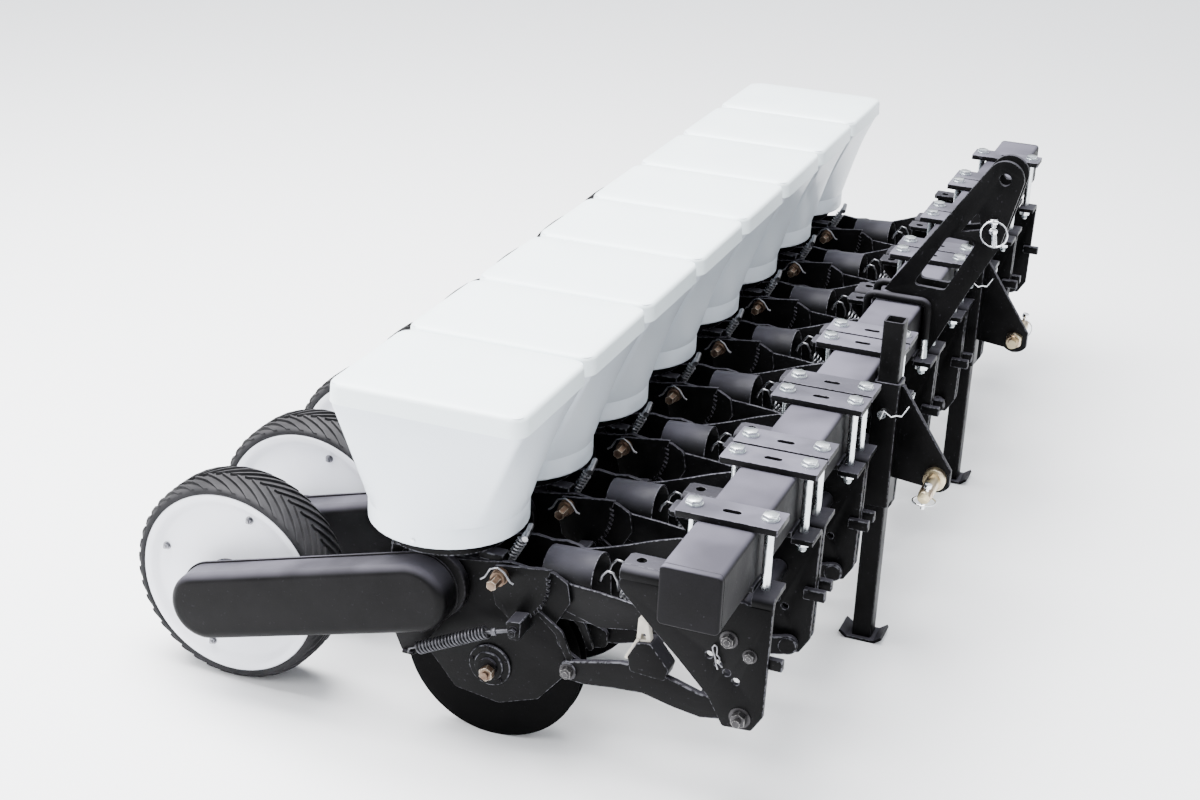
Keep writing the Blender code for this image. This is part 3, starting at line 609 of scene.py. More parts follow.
def ring_wire(centre, radius, thick, axis="Y"):
    """A round wire ring standing across an axis."""
    points = []
    for step in range(32):
        turn = math.tau * step / 32
        a = radius * math.cos(turn)
        b = radius * math.sin(turn)
        points.append(Vector(centre) + Vector((a, 0, b) if axis == "Y" else (a, b, 0)))
    return wire(points, thick, closed=True)


for side, label in ((-1, "left"), (1, "right")):
    y = side * HITCH_Y
    sleeve = square_tube(0.0503, 0.0042, -0.282, -0.022, STAND_X, y)
    web = slab(eased([(0.100, -0.222), (0.100, -0.030), (0.106, -0.030), (0.215, -0.190), (0.186, -0.239),
                      (0.165, -0.229)], 0.004, 3), y - 0.006, y + 0.006)
    tip = slab([*arc(HITCH_PIN, 0.0325, 30, 330, 24)], y - 0.0059, y + 0.0059)
    put(f"hitch_plate_{label}", gather(sleeve, soften(web, 0.0012), soften(tip, 0.0011)), BLACK_PAINT,
        "frame")
    x, z = HITCH_PIN
    pin = gather(
        soften(rod((x, y + side * 0.006, z), (x, y + side * 0.024, z), 0.0225, 32), 0.002),
        rod((x, y - side * 0.034, z), (x, y + side * 0.092, z), 0.0140, 32),
        soften(rod((x, y + side * 0.090, z), (x, y + side * 0.110, z), 0.0140, 32, 0.0120), 0.0015),
        hexagon((x, y - side * 0.006, z), (x, y - side * 0.022, z), 0.034),
        rod((x, y - side * 0.022, z), (x, y - side * 0.046, z), 0.0105, 24))
    put(f"hitch_pin_{label}", pin, YELLOW_ZINC, "frame")
    clip_y = y + side * 0.100
    clip_head = rod((x + 0.003, clip_y, z + 0.018), (x + 0.005, clip_y, z + 0.028), 0.0075, 16)
    clip = gather(ring_wire((x, clip_y, z - 0.010), 0.0220, 0.0016, "Z" if side < 0 else "Y"),
                  rod((x + 0.004, clip_y, z + 0.026), (x - 0.002, clip_y, z - 0.026), 0.0042, 16),
                  soften(clip_head, 0.002))
    put(f"hitch_lynch_pin_{label}", clip, CHROME, "frame")
    tube = square_tube(0.040, 0.0038, GROUND + 0.006, 0.100, STAND_X, y)
    sole = block((STAND_X - 0.030, y - 0.030, GROUND), (STAND_X + 0.030, y + 0.030, GROUND + 0.006))
    ears = [slab([(STAND_X + end * 0.029, GROUND), (STAND_X + end * 0.045, GROUND + 0.012),
                  (STAND_X + end * 0.042, GROUND + 0.017), (STAND_X + end * 0.027, GROUND + 0.006)],
                 y - 0.030, y + 0.030) for end in (-1, 1)]
    put(f"parking_stand_{label}", gather(tube, soften(sole, 0.001), *ears), BLACK_PAINT, f"stand_{label}",
        stands_for=[f"stand_{label}"])
    stand_pin = gather(
        rod((STAND_X, y - 0.042, -0.080), (STAND_X, y + 0.034, -0.080), 0.0065, 20),
        rod((STAND_X, y - 0.046, -0.080), (STAND_X, y - 0.036, -0.080), 0.0085, 20, 0.0065))
    put(f"stand_pin_{label}", stand_pin, ZINC, "frame")
    around = [(STAND_X - 0.002, y - 0.045, -0.090), (STAND_X + 0.004, y - 0.046, -0.070),
              (STAND_X + 0.018, y - 0.042, -0.082), (STAND_X + 0.026, y - 0.036, -0.080),
              (STAND_X + 0.036, y - 0.030, -0.082), (STAND_X + 0.044, y - 0.006, -0.070),
              (STAND_X + 0.046, y + 0.014, -0.058), (STAND_X + 0.044, y + 0.034, -0.056),
              (STAND_X + 0.030, y + 0.036, -0.072), (STAND_X + 0.004, y + 0.034, -0.080)]
    put(f"stand_clip_{label}", wire(around, 0.0016), CHROME, "frame")


# ---------------------------------------------------------------- mast
# Two laser-cut steel plates rise from the bar to the tractor's top link. A tube keeps them apart,
# and two U-bolts of round bar hold them down beside the middle brackets.

MAST_Y = 0.026
MAST_TIP = (0.188, 0.289)
MAST_SPACER = (0.181, 0.188)

outline = [*eased([(-0.034, 0.0004), (0.0506, 0.0004), (0.0506, -0.100), (0.074, -0.100), (0.140, 0.042),
                   (0.193, 0.146), (0.226, 0.199), (0.226, 0.262)], 0.004, 3)[6:-8],
           *arc(MAST_TIP, 0.038, -8, 150, 22), (-0.034, 0.020)]
windows = [eased([(0.024, 0.040), (0.092, 0.038), (0.146, 0.150), (0.086, 0.153)], 0.010, 6),
           eased([(0.110, 0.168), (0.152, 0.178), (0.143, 0.215)], 0.003, 3),
           round_hole(MAST_TIP, 0.0127, 32)]
mast_shapes = [soften(slab(outline, y - 0.005, y + 0.005, windows), 0.001) for y in (-MAST_Y, MAST_Y)]
foot = block((-0.033, -MAST_Y + 0.004, 0.0004), (0.050, MAST_Y - 0.004, 0.0118))
apron = block((0.0512, -MAST_Y + 0.004, -0.099), (0.0610, MAST_Y - 0.004, -0.010))
x, z = MAST_SPACER
spacer = rod((x, -MAST_Y, z), (x, MAST_Y, z), 0.0150, 28)
mast_shapes += [soften(foot, 0.001), soften(apron, 0.001), spacer]
put("top_link_mast", gather(*mast_shapes), BLACK_PAINT, "frame", stands_for=["mast"])

pin = gather(
    rod((x, -0.060, z), (x, 0.058, z), 0.0060, 20),
    soften(rod((x, -0.062, z), (x, -0.036, z), 0.0085, 20), 0.002),
    rod((x - 0.002, -0.052, z + 0.016), (x + 0.006, -0.056, z - 0.034), 0.0052, 16),
    soften(rod((x - 0.002, -0.052, z + 0.012), (x - 0.003, -0.050, z + 0.024), 0.0095, 16), 0.003),
    ring_wire((x + 0.002, -0.058, z - 0.006), 0.0270, 0.0018))
put("mast_lynch_pin", pin, CHROME, "frame")


U_BOLT_X = 0.0645


def u_bolt(y):
    """Round bar bent over the bar, down both its faces and through the bracket flanges."""
    over = [*arc((-0.048, -0.006), 0.0165, 180, 90, 7), *arc((0.048, -0.006), 0.0165, 90, 0, 7)]
    path = [(-U_BOLT_X, -0.070), *over, (U_BOLT_X, -0.070)]
    return wire([(x, y, z) for x, z in path], 0.0085, sides=4)


for side, label in ((-1, "near"), (1, "far")):
    y = side * 0.0420
    put(f"mast_u_bolt_{label}", u_bolt(y), BLACK_PAINT, "frame")
    ends = []
    top = FLANGE_TOP - BRACKET_THICK
    for x in (U_BOLT_X, -U_BOLT_X):
        ends += [thread(x, y, top - 0.026, -0.069, 0.0082), rod((x, y, top - 0.003), (x, y, top), 0.0155, 28),
                 hexagon((x, y, top - 0.016), (x, y, top - 0.003), 0.0255)]
    put(f"mast_u_bolt_nuts_{label}", gather(*ends), ZINC, "frame")


# ---------------------------------------------------------------- lower links
# Each row trails on a cast steel lower link: two curved arms that close in towards the row, with
# a cross tube between them. They turn on bolts through the bracket and through the row's plates.

LINK_LENGTH = 0.335
LINK_DROP = 0.030
LOWER_REAR = (LINK_PIVOT[0] - LINK_LENGTH, LINK_PIVOT[1] - LINK_DROP)
ARM_FRONT_Y = 0.123
ARM_REAR_Y = 0.072


def lower_arm(side):
    """One curved arm, thick at its bosses, leaning in towards the rear."""
    x, z = LINK_PIVOT
    rear_x, rear_z = LOWER_REAR
    upper = [(x - 0.045, z + 0.0100), (x - 0.085, z + 0.0105), (x - 0.130, z + 0.0190),
             (x - 0.180, z + 0.0250), (x - 0.235, z + 0.0200), (x - 0.290, z + 0.0030)]
    lower = [(rear_x + 0.030, rear_z - 0.0175), (x - 0.245, z - 0.0350), (x - 0.190, z - 0.0260),
             (x - 0.130, z - 0.0330), (x - 0.080, z - 0.0350), (x - 0.035, z - 0.0230)]
    rear_boss = arc((rear_x, rear_z), 0.0185, 85, 275, 12)
    outline = [*arc((x, z), 0.0185, -100, 110, 14), *upper, *rear_boss, *lower]
    shape = soften(slab(outline, -0.006, 0.006), 0.0025, 3)
    for place in (LINK_PIVOT, LOWER_REAR):
        boss = rod((place[0], -0.0085, place[1]), (place[0], 0.0085, place[1]), 0.0160, 28)
        shape = gather(shape, soften(boss, 0.0015))
    lean = math.atan2(ARM_FRONT_Y - ARM_REAR_Y, LINK_LENGTH)
    return shifted(turned(shape, side * lean, "Z", (x, 0, z)), y=side * ARM_FRONT_Y)


tube_x = LINK_PIVOT[0] - 0.075
tube_z = LINK_PIVOT[1] - 0.010
tube = rod((tube_x, -0.112, tube_z), (tube_x, 0.112, tube_z), 0.0160, 28)
per_row("lower_link_arms", gather(lower_arm(-1), lower_arm(1), tube), BLACK_PAINT, "lower_link",
        "lower_link")
rear_bolts = both_sides(lambda side: bolt_end(
    (LOWER_REAR[0] + 0.002, side * (ARM_REAR_Y + 0.009), LOWER_REAR[1]), side, 0.019, 0.014))
per_row("lower_link_bolts", rear_bolts, DARK_BOLT, "lower_link")

CREAM_PLASTIC = finish(
    "cream_plastic", (0.46, 0.43, 0.37), (0.36, 0.33, 0.28), 0.35, 0.5, bump=0.06,
    Dust=(0.3, 0.27, 0.22), Dust_Amount=0.3, Edge=(0.6, 0.57, 0.5), Edge_Amount=0.3, Scale=50.0)
grip_hole = eased([(-0.142, -0.246), (-0.134, -0.245), (-0.132, -0.257), (-0.143, -0.258)], 0.002, 2)
lever = slab(eased([(-0.148, -0.217), (-0.132, -0.215), (-0.124, -0.262), (-0.150, -0.266)], 0.004, 3),
             -0.112, -0.098, [grip_hole])
cheek = slab(eased([(-0.150, -0.258), (-0.143, -0.256), (-0.160, -0.300), (-0.170, -0.298)], 0.003, 3),
             -0.114, -0.100)
lever = gather(lever, cheek)
foot = slab(eased([(-0.147, -0.262), (-0.122, -0.258), (-0.088, -0.300), (-0.094, -0.322), (-0.156, -0.318),
                   (-0.162, -0.292)], 0.006, 3), -0.120, -0.082)
per_row("depth_lever", soften(lever, 0.0015), CREAM_PLASTIC, "lower_link")
per_row("depth_lever_base", soften(foot, 0.002), BLACK_PAINT, "lower_link")


# ---------------------------------------------------------------- upper links
# The upper link is folded sheet steel: a rounded hood over its rear half, two side walls, and on
# the +Y side a deeper wall whose top edge climbs towards the bar. Coil springs hook into the hood.

UPPER_REAR = (UPPER_PIVOT[0] - LINK_LENGTH, UPPER_PIVOT[1] - LINK_DROP)
HOOD_RADIUS = 0.049

# Its lighter dust colour on upward faces is dust and a painted highlight; its pale edge colour is wear and a
# painted edge highlight.
LINK_PAINT = finish(
    "link_paint", (0.0050, 0.0049, 0.0054), (0.0026, 0.0025, 0.0028), 0.30, 0.48, bump=0.10, specular=0.09,
    Dust=(0.080, 0.077, 0.095), Dust_Amount=0.75, Edge=(0.24, 0.24, 0.27), Edge_Amount=0.65,
    Speck_Amount=0.16, Scale=22.0, Grain=300.0)


def hood():
    """A half-round hood flaring down into its side walls, drawn out along the link."""
    outer = [(-HOOD_RADIUS, -0.290), (-HOOD_RADIUS, -0.228), *arc((0, -0.228), HOOD_RADIUS, 180, 0, 20)[1:-1],
             (HOOD_RADIUS, -0.228), (HOOD_RADIUS, -0.290)]
    inner_radius = HOOD_RADIUS - 0.004
    inner = [(inner_radius, -0.290), *arc((0, -0.228), inner_radius, 0, 180, 20), (-inner_radius, -0.290)]
    shape = slab(outer + inner, -0.352, -0.258, plane="yz")
    return turned(soften(shape, 0.001), math.radians(-3.0), "Y", (-0.290, 0, -0.228))


near_outline = eased([
    (-0.330, -0.216), (-0.240, -0.222), (-0.110, -0.236), (-0.030, -0.190), (0.020, -0.180),
    (0.040, -0.200), (0.020, -0.222), (-0.080, -0.262), (-0.240, -0.290), (-0.336, -0.262)], 0.012, 4)
near_wall = slab(near_outline, -HOOD_RADIUS - 0.004, -HOOD_RADIUS + 0.001)
far_wall = slab([(-0.385, -0.222), (-0.362, -0.213), (-0.335, -0.208), (-0.307, -0.203), (-0.270, -0.192),
                 (-0.231, -0.178), (-0.185, -0.160), (-0.140, -0.145), (-0.085, -0.140), (-0.040, -0.150),
                 (0.020, -0.180), (0.040, -0.200), (0.020, -0.222), (-0.080, -0.262), (-0.240, -0.290),
                 (-0.340, -0.270)], HOOD_RADIUS + 0.006, HOOD_RADIUS + 0.011)
x, z = UPPER_PIVOT
pivot_tube = rod((x, -0.1325, z), (x, 0.1325, z), 0.0160, 28)
x, z = UPPER_REAR
rear_boss = rod((x, -0.052, z), (x, 0.060, z), 0.0150, 28)
link = gather(hood(), soften(near_wall, 0.001), soften(far_wall, 0.001), pivot_tube, rear_boss)
per_row("upper_link_hood", link, LINK_PAINT, "upper_link", "upper_link")


def coil(start, end, radius, wire_radius, turns, steps=14, sides=2):
    """A close-wound coil spring between two points."""
    first = Vector(start)
    last = Vector(end)
    along = last - first
    across = along.to_track_quat("Z", "Y")
    points = []
    for step in range(turns * steps + 1):
        turn = math.tau * step / steps
        rise = along.length * step / (turns * steps)
        spot = Vector((radius * math.cos(turn), radius * math.sin(turn), rise))
        points.append(first + across @ spot)
    return wire(points, wire_radius, sides=sides)


def hook(place, y, reach):
    """The bent end of a spring, from its coil up through the hood."""
    x, z = place
    points = [(x + reach, y, z - 0.030), (x + reach * 0.9, y, z - 0.012), (x + reach * 0.6, y, z + 0.002),
              (x + reach * 0.2, y, z + 0.004), (x - 0.004, y, z - 0.006), (x - 0.008, y, z - 0.018)]
    return wire(points, 0.0024)


for number, row_y in enumerate(ROW_Y, start=1):
    springs = []
    for y in (-0.026, 0.020):
        springs += [hook((-0.243, -0.196), y, 0.026),
                    coil((-0.212, y, -0.222), (-0.100, y, -0.262), 0.0105, 0.0022, 15, 12)]
    made = put(f"down_pressure_springs_{number}", gather(*springs), WIRE_STEEL, None, row_y, 60)
    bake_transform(made)


# ---------------------------------------------------------------- row frames
# Two black steel plates carry the opener discs, the seed meter and the hopper. A toothed quadrant
# on the near plate sets the depth, with a hexagon shaft through it, locked by a wire clip.

PLATE_Y = 0.058
QUADRANT = (-0.413, -0.216)


def side_plate(side):
    """One of the row's two large plates."""
    outline = eased([
        (-0.628, -0.250), (-0.606, -0.212), (-0.567, -0.226), (-0.526, -0.215), (-0.450, -0.205),
        (-0.404, -0.196), (-0.372, -0.200), (-0.345, -0.196), (-0.322, -0.200), (-0.296, -0.214),
        (-0.290, -0.250), (-0.318, -0.300), (-0.310, -0.336), (-0.262, -0.362), (-0.263, -0.392),
        (-0.300, -0.400), (-0.345, -0.455), (-0.420, -0.482), (-0.505, -0.470), (-0.560, -0.405),
        (-0.606, -0.340)], 0.010, 3)
    y = side * PLATE_Y
    return soften(slab(outline, y - 0.004, y + 0.004), 0.001)


def quadrant():
    """The depth quadrant: a sector with teeth round its rim."""
    hub_x, hub_z = QUADRANT
    outline = [(hub_x - 0.012, hub_z + 0.017), (hub_x + 0.092, hub_z + 0.030)]
    teeth = 15
    for tooth in range(teeth):
        for share, radius in ((0.0, 0.090), (0.30, 0.090), (0.5, 0.084), (0.8, 0.084)):
            turn = math.radians(12 - (tooth + share) * 92 / teeth)
            outline.append((hub_x + radius * math.cos(turn), hub_z + radius * math.sin(turn)))
    outline += [(hub_x - 0.010, hub_z - 0.060), (hub_x - 0.022, hub_z - 0.010)]
    return soften(slab(outline, -0.078, -0.072), 0.0007)


housing = rod((-0.550, 0, -0.190), (-0.550, 0, -0.1635), 0.112, 64)
meter_box = block((-0.640, -0.054, -0.330), (-0.470, 0.054, -0.210))
shank = slab(eased([(-0.412, -0.330), (-0.372, -0.330), (-0.366, -0.470), (-0.392, -0.548),
                    (-0.424, -0.530)], 0.008, 3), -0.008, 0.008)
web = block((-0.420, -PLATE_Y, -0.350), (-0.370, PLATE_Y, -0.330))
ribs = []
for bow, top, bottom in ((0.0, (-0.341, -0.271), (-0.277, -0.353)),
                         (0.030, (-0.308, -0.266), (-0.250, -0.340))):
    centre = ((top[0] + bottom[0]) / 2 + 0.012, (top[1] + bottom[1]) / 2 + 0.010)
    line = [top, centre, bottom, (bottom[0] - 0.010, bottom[1] - 0.004),
            (centre[0] - 0.014, centre[1] - 0.006), (top[0] - 0.008, top[1] - 0.004)]
    ribs.append(soften(slab(eased(line, 0.02, 4), -PLATE_Y - 0.018 + bow, -PLATE_Y - 0.012 + bow), 0.0008))
latch_block = block((-0.466, -0.058, -0.204), (-0.420, -0.030, -0.190))
per_row("row_side_plates", gather(
    side_plate(-1), side_plate(1), quadrant(), soften(housing, 0.004), soften(meter_box, 0.006),
    soften(shank, 0.001), web, *ribs, soften(latch_block, 0.002)),
        BLACK_PAINT, "row", "row_frame")

RUSTED_STEEL = finish(
    "bare_steel", (0.20, 0.145, 0.105), (0.070, 0.040, 0.027), 0.30, 0.62, metallic=0.85, bump=0.2,
    Dust=(0.25, 0.14, 0.08), Dust_Amount=0.3, Edge=(0.75, 0.70, 0.60), Edge_Amount=0.8,
    Scale=70.0, Grain=600.0)
hub_x, hub_z = QUADRANT
shaft = gather(
    hexagon((hub_x, -0.070, hub_z), (hub_x, -0.122, hub_z), 0.017),
    rod((hub_x, -0.078, hub_z), (hub_x, -0.086, hub_z), 0.0150, 28),
    rod((hub_x, -0.088, hub_z), (hub_x, -0.096, hub_z), 0.0135, 28),
    hexagon((-0.434, -0.078, -0.412), (-0.434, -0.092, -0.412), 0.024),
    rod((-0.434, -0.092, -0.412), (-0.434, -0.098, -0.412), 0.0070, 18))
per_row("adjuster_shaft", shaft, RUSTED_STEEL, "row")
clip = wire([(hub_x - 0.030, -0.099, hub_z - 0.004), (hub_x - 0.022, -0.099, hub_z + 0.002),
             (hub_x - 0.012, -0.099, hub_z + 0.020), (hub_x + 0.002, -0.099, hub_z + 0.025),
             (hub_x + 0.014, -0.099, hub_z + 0.018), (hub_x + 0.026, -0.099, hub_z + 0.002),
             (hub_x + 0.032, -0.099, hub_z)], 0.0018)
latch = gather(
    rod((-0.388, -0.030, -0.150), (-0.420, -0.042, -0.214), 0.0050, 14),
    coil((-0.394, -0.032, -0.164), (-0.412, -0.039, -0.198), 0.0085, 0.0018, 6, 12),
    rod((-0.382, -0.052, -0.152), (-0.390, -0.006, -0.148), 0.0055, 14))
per_row("shaft_clip_and_latch", gather(clip, latch), WIRE_STEEL, "row", smooth=60)


# ---------------------------------------------------------------- opener discs
# A pair of 13.5 inch steel discs, ground to an edge, opens the furrow. They turn on an axle whose
# hub stands out of the side plate, with a cover ring and screws.

DISC_CENTRE = (-0.455, -0.4105)
DISC_RADIUS = 0.1715

DISC_STEEL = finish(
    "disc_paint", (0.0012, 0.0012, 0.0013), (0.0007, 0.0007, 0.0008), 0.36, 0.52, bump=0.08, specular=0.03,
    Dust=(0.03, 0.029, 0.032), Dust_Amount=0.2, Edge=(0.02, 0.02, 0.022), Edge_Amount=0.6, Scale=18.0)


def disc(y, side):
    """A flat disc, ground to an edge on its outer face."""
    profile = [(0, 0.002), (0.060, 0.002), (0.066, 0.0018), (0.156, 0.0018), (DISC_RADIUS, -0.0012),
               (DISC_RADIUS, -0.0020), (0, -0.0020)]
    shape = turned(spun(profile, 96), side * -math.pi / 2, "X")
    return shifted(shape, DISC_CENTRE[0], y, DISC_CENTRE[1])


per_row("opener_discs", gather(disc(-0.014, -1), disc(0.014, 1)), DISC_STEEL, "row", smooth=20)


def hub_ring(side):
    """The hub's cover ring on a side plate, with its screws."""
    x = DISC_CENTRE[0] + 0.018
    z = DISC_CENTRE[1] + 0.004
    y = side * (PLATE_Y + 0.004)
    parts = [soften(rod((x, y, z), (x, y + side * 0.006, z), 0.040, 40), 0.002),
             soften(rod((x, y, z), (x, y + side * 0.010, z), 0.028, 36), 0.002),
             rod((x, y, z), (x, y + side * 0.016, z), 0.018, 28)]
    for turn in range(5):
        angle = math.tau * turn / 5 + 0.4
        spot = (x + 0.034 * math.cos(angle), z + 0.034 * math.sin(angle))
        parts.append(rod((spot[0], y, spot[1]), (spot[0], y + side * 0.009, spot[1]), 0.0032, 12))
    return gather(*parts)


per_row("disc_hub_rings", both_sides(hub_ring), BLACK_PAINT, "row")


# ---------------------------------------------------------------- hoppers and lids
# Each seed hopper is blow-moulded white plastic, drawn from a rounded rectangle under the lid down
# to a round neck that sits on the seed meter. The lid is a white moulding with a deep skirt.

HOPPER_X = -0.550
NECK_RADIUS = 0.143
NECK_LOW = -0.161
NECK_TOP = NECK_LOW + 0.038
LID_X = -0.534
LID_SIZE = (0.366, 0.296)
LID_LOW = 0.076
LID_HIGH = 0.116

HOPPER_PLASTIC = finish(
    "hopper_plastic", (0.80, 0.86, 0.92), (0.77, 0.835, 0.90), 0.30, 0.42, bump=0.03, coat=0.10,
    Dust=(0.70, 0.72, 0.76), Dust_Amount=0.10, Edge=(0.86, 0.89, 0.92), Edge_Amount=0.15,
    Speck_Amount=0.02, Scale=6.0, Grain=160.0)
LID_PLASTIC = finish(
    "lid_plastic", (0.86, 0.945, 0.965), (0.845, 0.93, 0.955), 0.28, 0.40, bump=0.03, coat=0.10,
    Dust=(0.78, 0.83, 0.86), Dust_Amount=0.10, Edge=(0.88, 0.92, 0.94), Edge_Amount=0.15,
    Speck_Amount=0.02, Scale=5.0, Grain=160.0)


def rounded_rectangle(length, width, corner, steps=9):
    """Points round a rectangle with rounded corners."""
    points = []
    for quarter, (along, across) in enumerate(((1, 1), (-1, 1), (-1, -1), (1, -1))):
        centre = (along * (length / 2 - corner), across * (width / 2 - corner))
        points += arc(centre, corner, 90 * quarter, 90 * quarter + 90, steps)
    return points


def bridged(sections):
    """A skin over sections of equal count, each (points, x, z), bridged one to the next."""
    shape = bmesh.new()
    rings = []
    for points, x, z in sections:
        verts = [shape.verts.new((x + a, b, z)) for a, b in points]
        rings.append([shape.edges.new(pair) for pair in zip(verts, verts[1:] + verts[:1])])
    for lower, upper in zip(rings, rings[1:]):
        bmesh.ops.bridge_loops(shape, edges=lower + upper)
    return shape


def sided_rectangle(length, width, corner, along=10, round_steps=4):
    """A rounded rectangle whose straight sides are split too, starting at the middle of the +X side."""
    half_x = length / 2 - corner
    half_y = width / 2 - corner
    points = []
    centres = ((half_x, half_y), (-half_x, half_y), (-half_x, -half_y), (half_x, -half_y))
    for quarter, (x, y) in enumerate(centres):
        corner_points = arc((x, y), corner, 90 * quarter, 90 * quarter + 90, round_steps)
        if points:
            start = Vector(points[-1])
            points += [tuple(start.lerp(Vector(corner_points[0]), step / along)) for step in range(1, along)]
        points += corner_points
    start = Vector(points[-1])
    return points + [tuple(start.lerp(Vector(points[0]), step / along)) for step in range(1, along)]


def neck_circle(radius, along=10, round_steps=4, corner_spread=6):
    """As many points round the neck: few degrees of it for each corner, the rest for the sides."""
    angles = []
    for quarter in range(4):
        middle = 90 * quarter + 45
        angles += [middle - corner_spread / 2 + corner_spread * step / round_steps
                   for step in range(round_steps + 1)]
        side = 90 - corner_spread
        angles += [middle + corner_spread / 2 + side * step / along for step in range(1, along)]
    return [(radius * math.cos(math.radians(a)), radius * math.sin(math.radians(a))) for a in angles]


def hopper():
    """The hopper's wall: outside down to the neck, over its lower edge, and back up inside."""
    rim = (LID_SIZE[0] - 0.013, LID_SIZE[1] - 0.013)
    shoulder = sided_rectangle(rim[0] - 0.002, rim[1] - 0.002, 0.012)
    neck = neck_circle(NECK_RADIUS)
    outside = [(sided_rectangle(*rim, 0.018), LID_X, 0.1105),
               (sided_rectangle(*rim, 0.016), LID_X, LID_LOW + 0.002),
               (shoulder, LID_X, LID_LOW - 0.006)]
    for step in range(1, 10):
        share = step / 10
        mixed = [(a[0] + (b[0] - a[0]) * share, a[1] + (b[1] - a[1]) * share) for a, b in zip(shoulder, neck)]
        height = LID_LOW - 0.006 + (NECK_TOP - LID_LOW + 0.006) * share
        outside.append((mixed, LID_X + (HOPPER_X - LID_X) * share, height))
    outside += [(neck_circle(NECK_RADIUS - 0.0008), HOPPER_X, NECK_TOP + 0.0005),
                (neck, HOPPER_X, NECK_TOP - 0.002), (neck, HOPPER_X, NECK_LOW + 0.003),
                (neck_circle(NECK_RADIUS - 0.002), HOPPER_X, NECK_LOW)]
    inside = [([(a * 0.974, b * 0.974) for a, b in points], x, max(z, NECK_LOW + 0.004))
              for points, x, z in outside]
    shape = bridged(outside + inside[:-1][::-1])
    rim_edges = [edge for edge in shape.edges if edge.is_boundary and edge.verts[0].co.z > 0.1]
    bmesh.ops.bridge_loops(shape, edges=rim_edges)
    bmesh.ops.recalc_face_normals(shape, faces=shape.faces[:])
    return shape


def lid():
    """The lid: a skirt drafted outwards, a rounded edge and a barely crowned top."""
    long, wide = LID_SIZE
    sections = [(rounded_rectangle(long - 0.009, wide - 0.009, 0.026), LID_X, LID_LOW),
                (rounded_rectangle(long, wide, 0.030), LID_X, LID_LOW),
                (rounded_rectangle(long - 0.001, wide - 0.001, 0.030), LID_X, LID_LOW + 0.002),
                (rounded_rectangle(long - 0.003, wide - 0.003, 0.030), LID_X, LID_HIGH - 0.013)]
    for turn in (20, 40, 60, 80):
        inset = 0.003 + 0.020 * (1 - math.cos(math.radians(turn)))
        sections.append((rounded_rectangle(long - inset, wide - inset, 0.030), LID_X,
                         LID_HIGH - 0.013 + 0.0105 * math.sin(math.radians(turn))))
    for share, height in ((0.86, 0.0012), (0.6, 0.0004), (0.3, 0.0)):
        top = rounded_rectangle(long * share, wide * share, 0.030 * share)
        sections.append((top, LID_X, LID_HIGH - height))
    shape = bridged(sections)
    for level in (LID_HIGH, LID_LOW):
        edges = [edge for edge in shape.edges
                 if edge.is_boundary and abs(edge.verts[0].co.z - level) < 0.0005]
        bmesh.ops.edgeloop_fill(shape, edges=edges)
    bmesh.ops.recalc_face_normals(shape, faces=shape.faces[:])
    return shape


per_row("hopper_shell", hopper(), HOPPER_PLASTIC, "row", "hopper", smooth=30)
per_row("hopper_lid", lid(), LID_PLASTIC, "lid", "lid", smooth=30)

screw_z = NECK_LOW + 0.012
neck_screws = both_sides(lambda side: soften(rod(
    (HOPPER_X, side * (NECK_RADIUS - 0.001), screw_z), (HOPPER_X, side * (NECK_RADIUS + 0.003), screw_z),
    0.004, 14), 0.001))
per_row("neck_screw", neck_screws, ZINC, "row")

HINGE = (-0.7205, LID_LOW - 0.001)
hinge_pins = [rod((HINGE[0], y - 0.020, HINGE[1]), (HINGE[0], y + 0.020, HINGE[1]), 0.0035, 12)
              for y in (-0.080, 0.080)]
per_row("lid_hinge_pins", gather(*hinge_pins), ZINC, "row")


# ---------------------------------------------------------------- chain cases
# The wheel arm is a pressed steel case with a large rounded rim, which covers the chain from the
# wheel to the seed meter. It hangs a little below the line of its two axles, and a lug under its
# front end takes the wheel spring.

ARM_PIVOT = (-0.555, -0.262)
WHEEL_X = -0.978
WHEEL_RADIUS = 0.203
WHEEL_Z = GROUND + WHEEL_RADIUS
CASE_RADIUS = 0.066
CASE_NEAR = -0.137
CASE_FAR = -0.077

# Its light dust colour on upward faces is dust and a painted highlight.
CASE_PAINT = finish(
    "case_paint", (0.0046, 0.0044, 0.0048), (0.0026, 0.0025, 0.0027), 0.32, 0.48, bump=0.10, specular=0.07,
    Dust=(0.10, 0.095, 0.115), Dust_Amount=0.75, Edge=(0.05, 0.048, 0.055), Edge_Amount=0.3,
    Speck_Amount=0.06, Scale=17.0, Grain=300.0)

CASE_FRONT = (ARM_PIVOT[0] - 0.006, ARM_PIVOT[1] - 0.011)
CASE_REAR = (WHEEL_X - 0.008, WHEEL_Z - 0.012)


def case_outline(radius):
    """The case seen from the side: two half circles joined by straight edges."""
    tilt = math.degrees(math.atan2(CASE_REAR[1] - CASE_FRONT[1], CASE_REAR[0] - CASE_FRONT[0]))
    front = arc(CASE_FRONT, radius, tilt + 90, tilt + 270, 28)
    return front + arc(CASE_REAR, radius, tilt - 90, tilt + 90, 28)


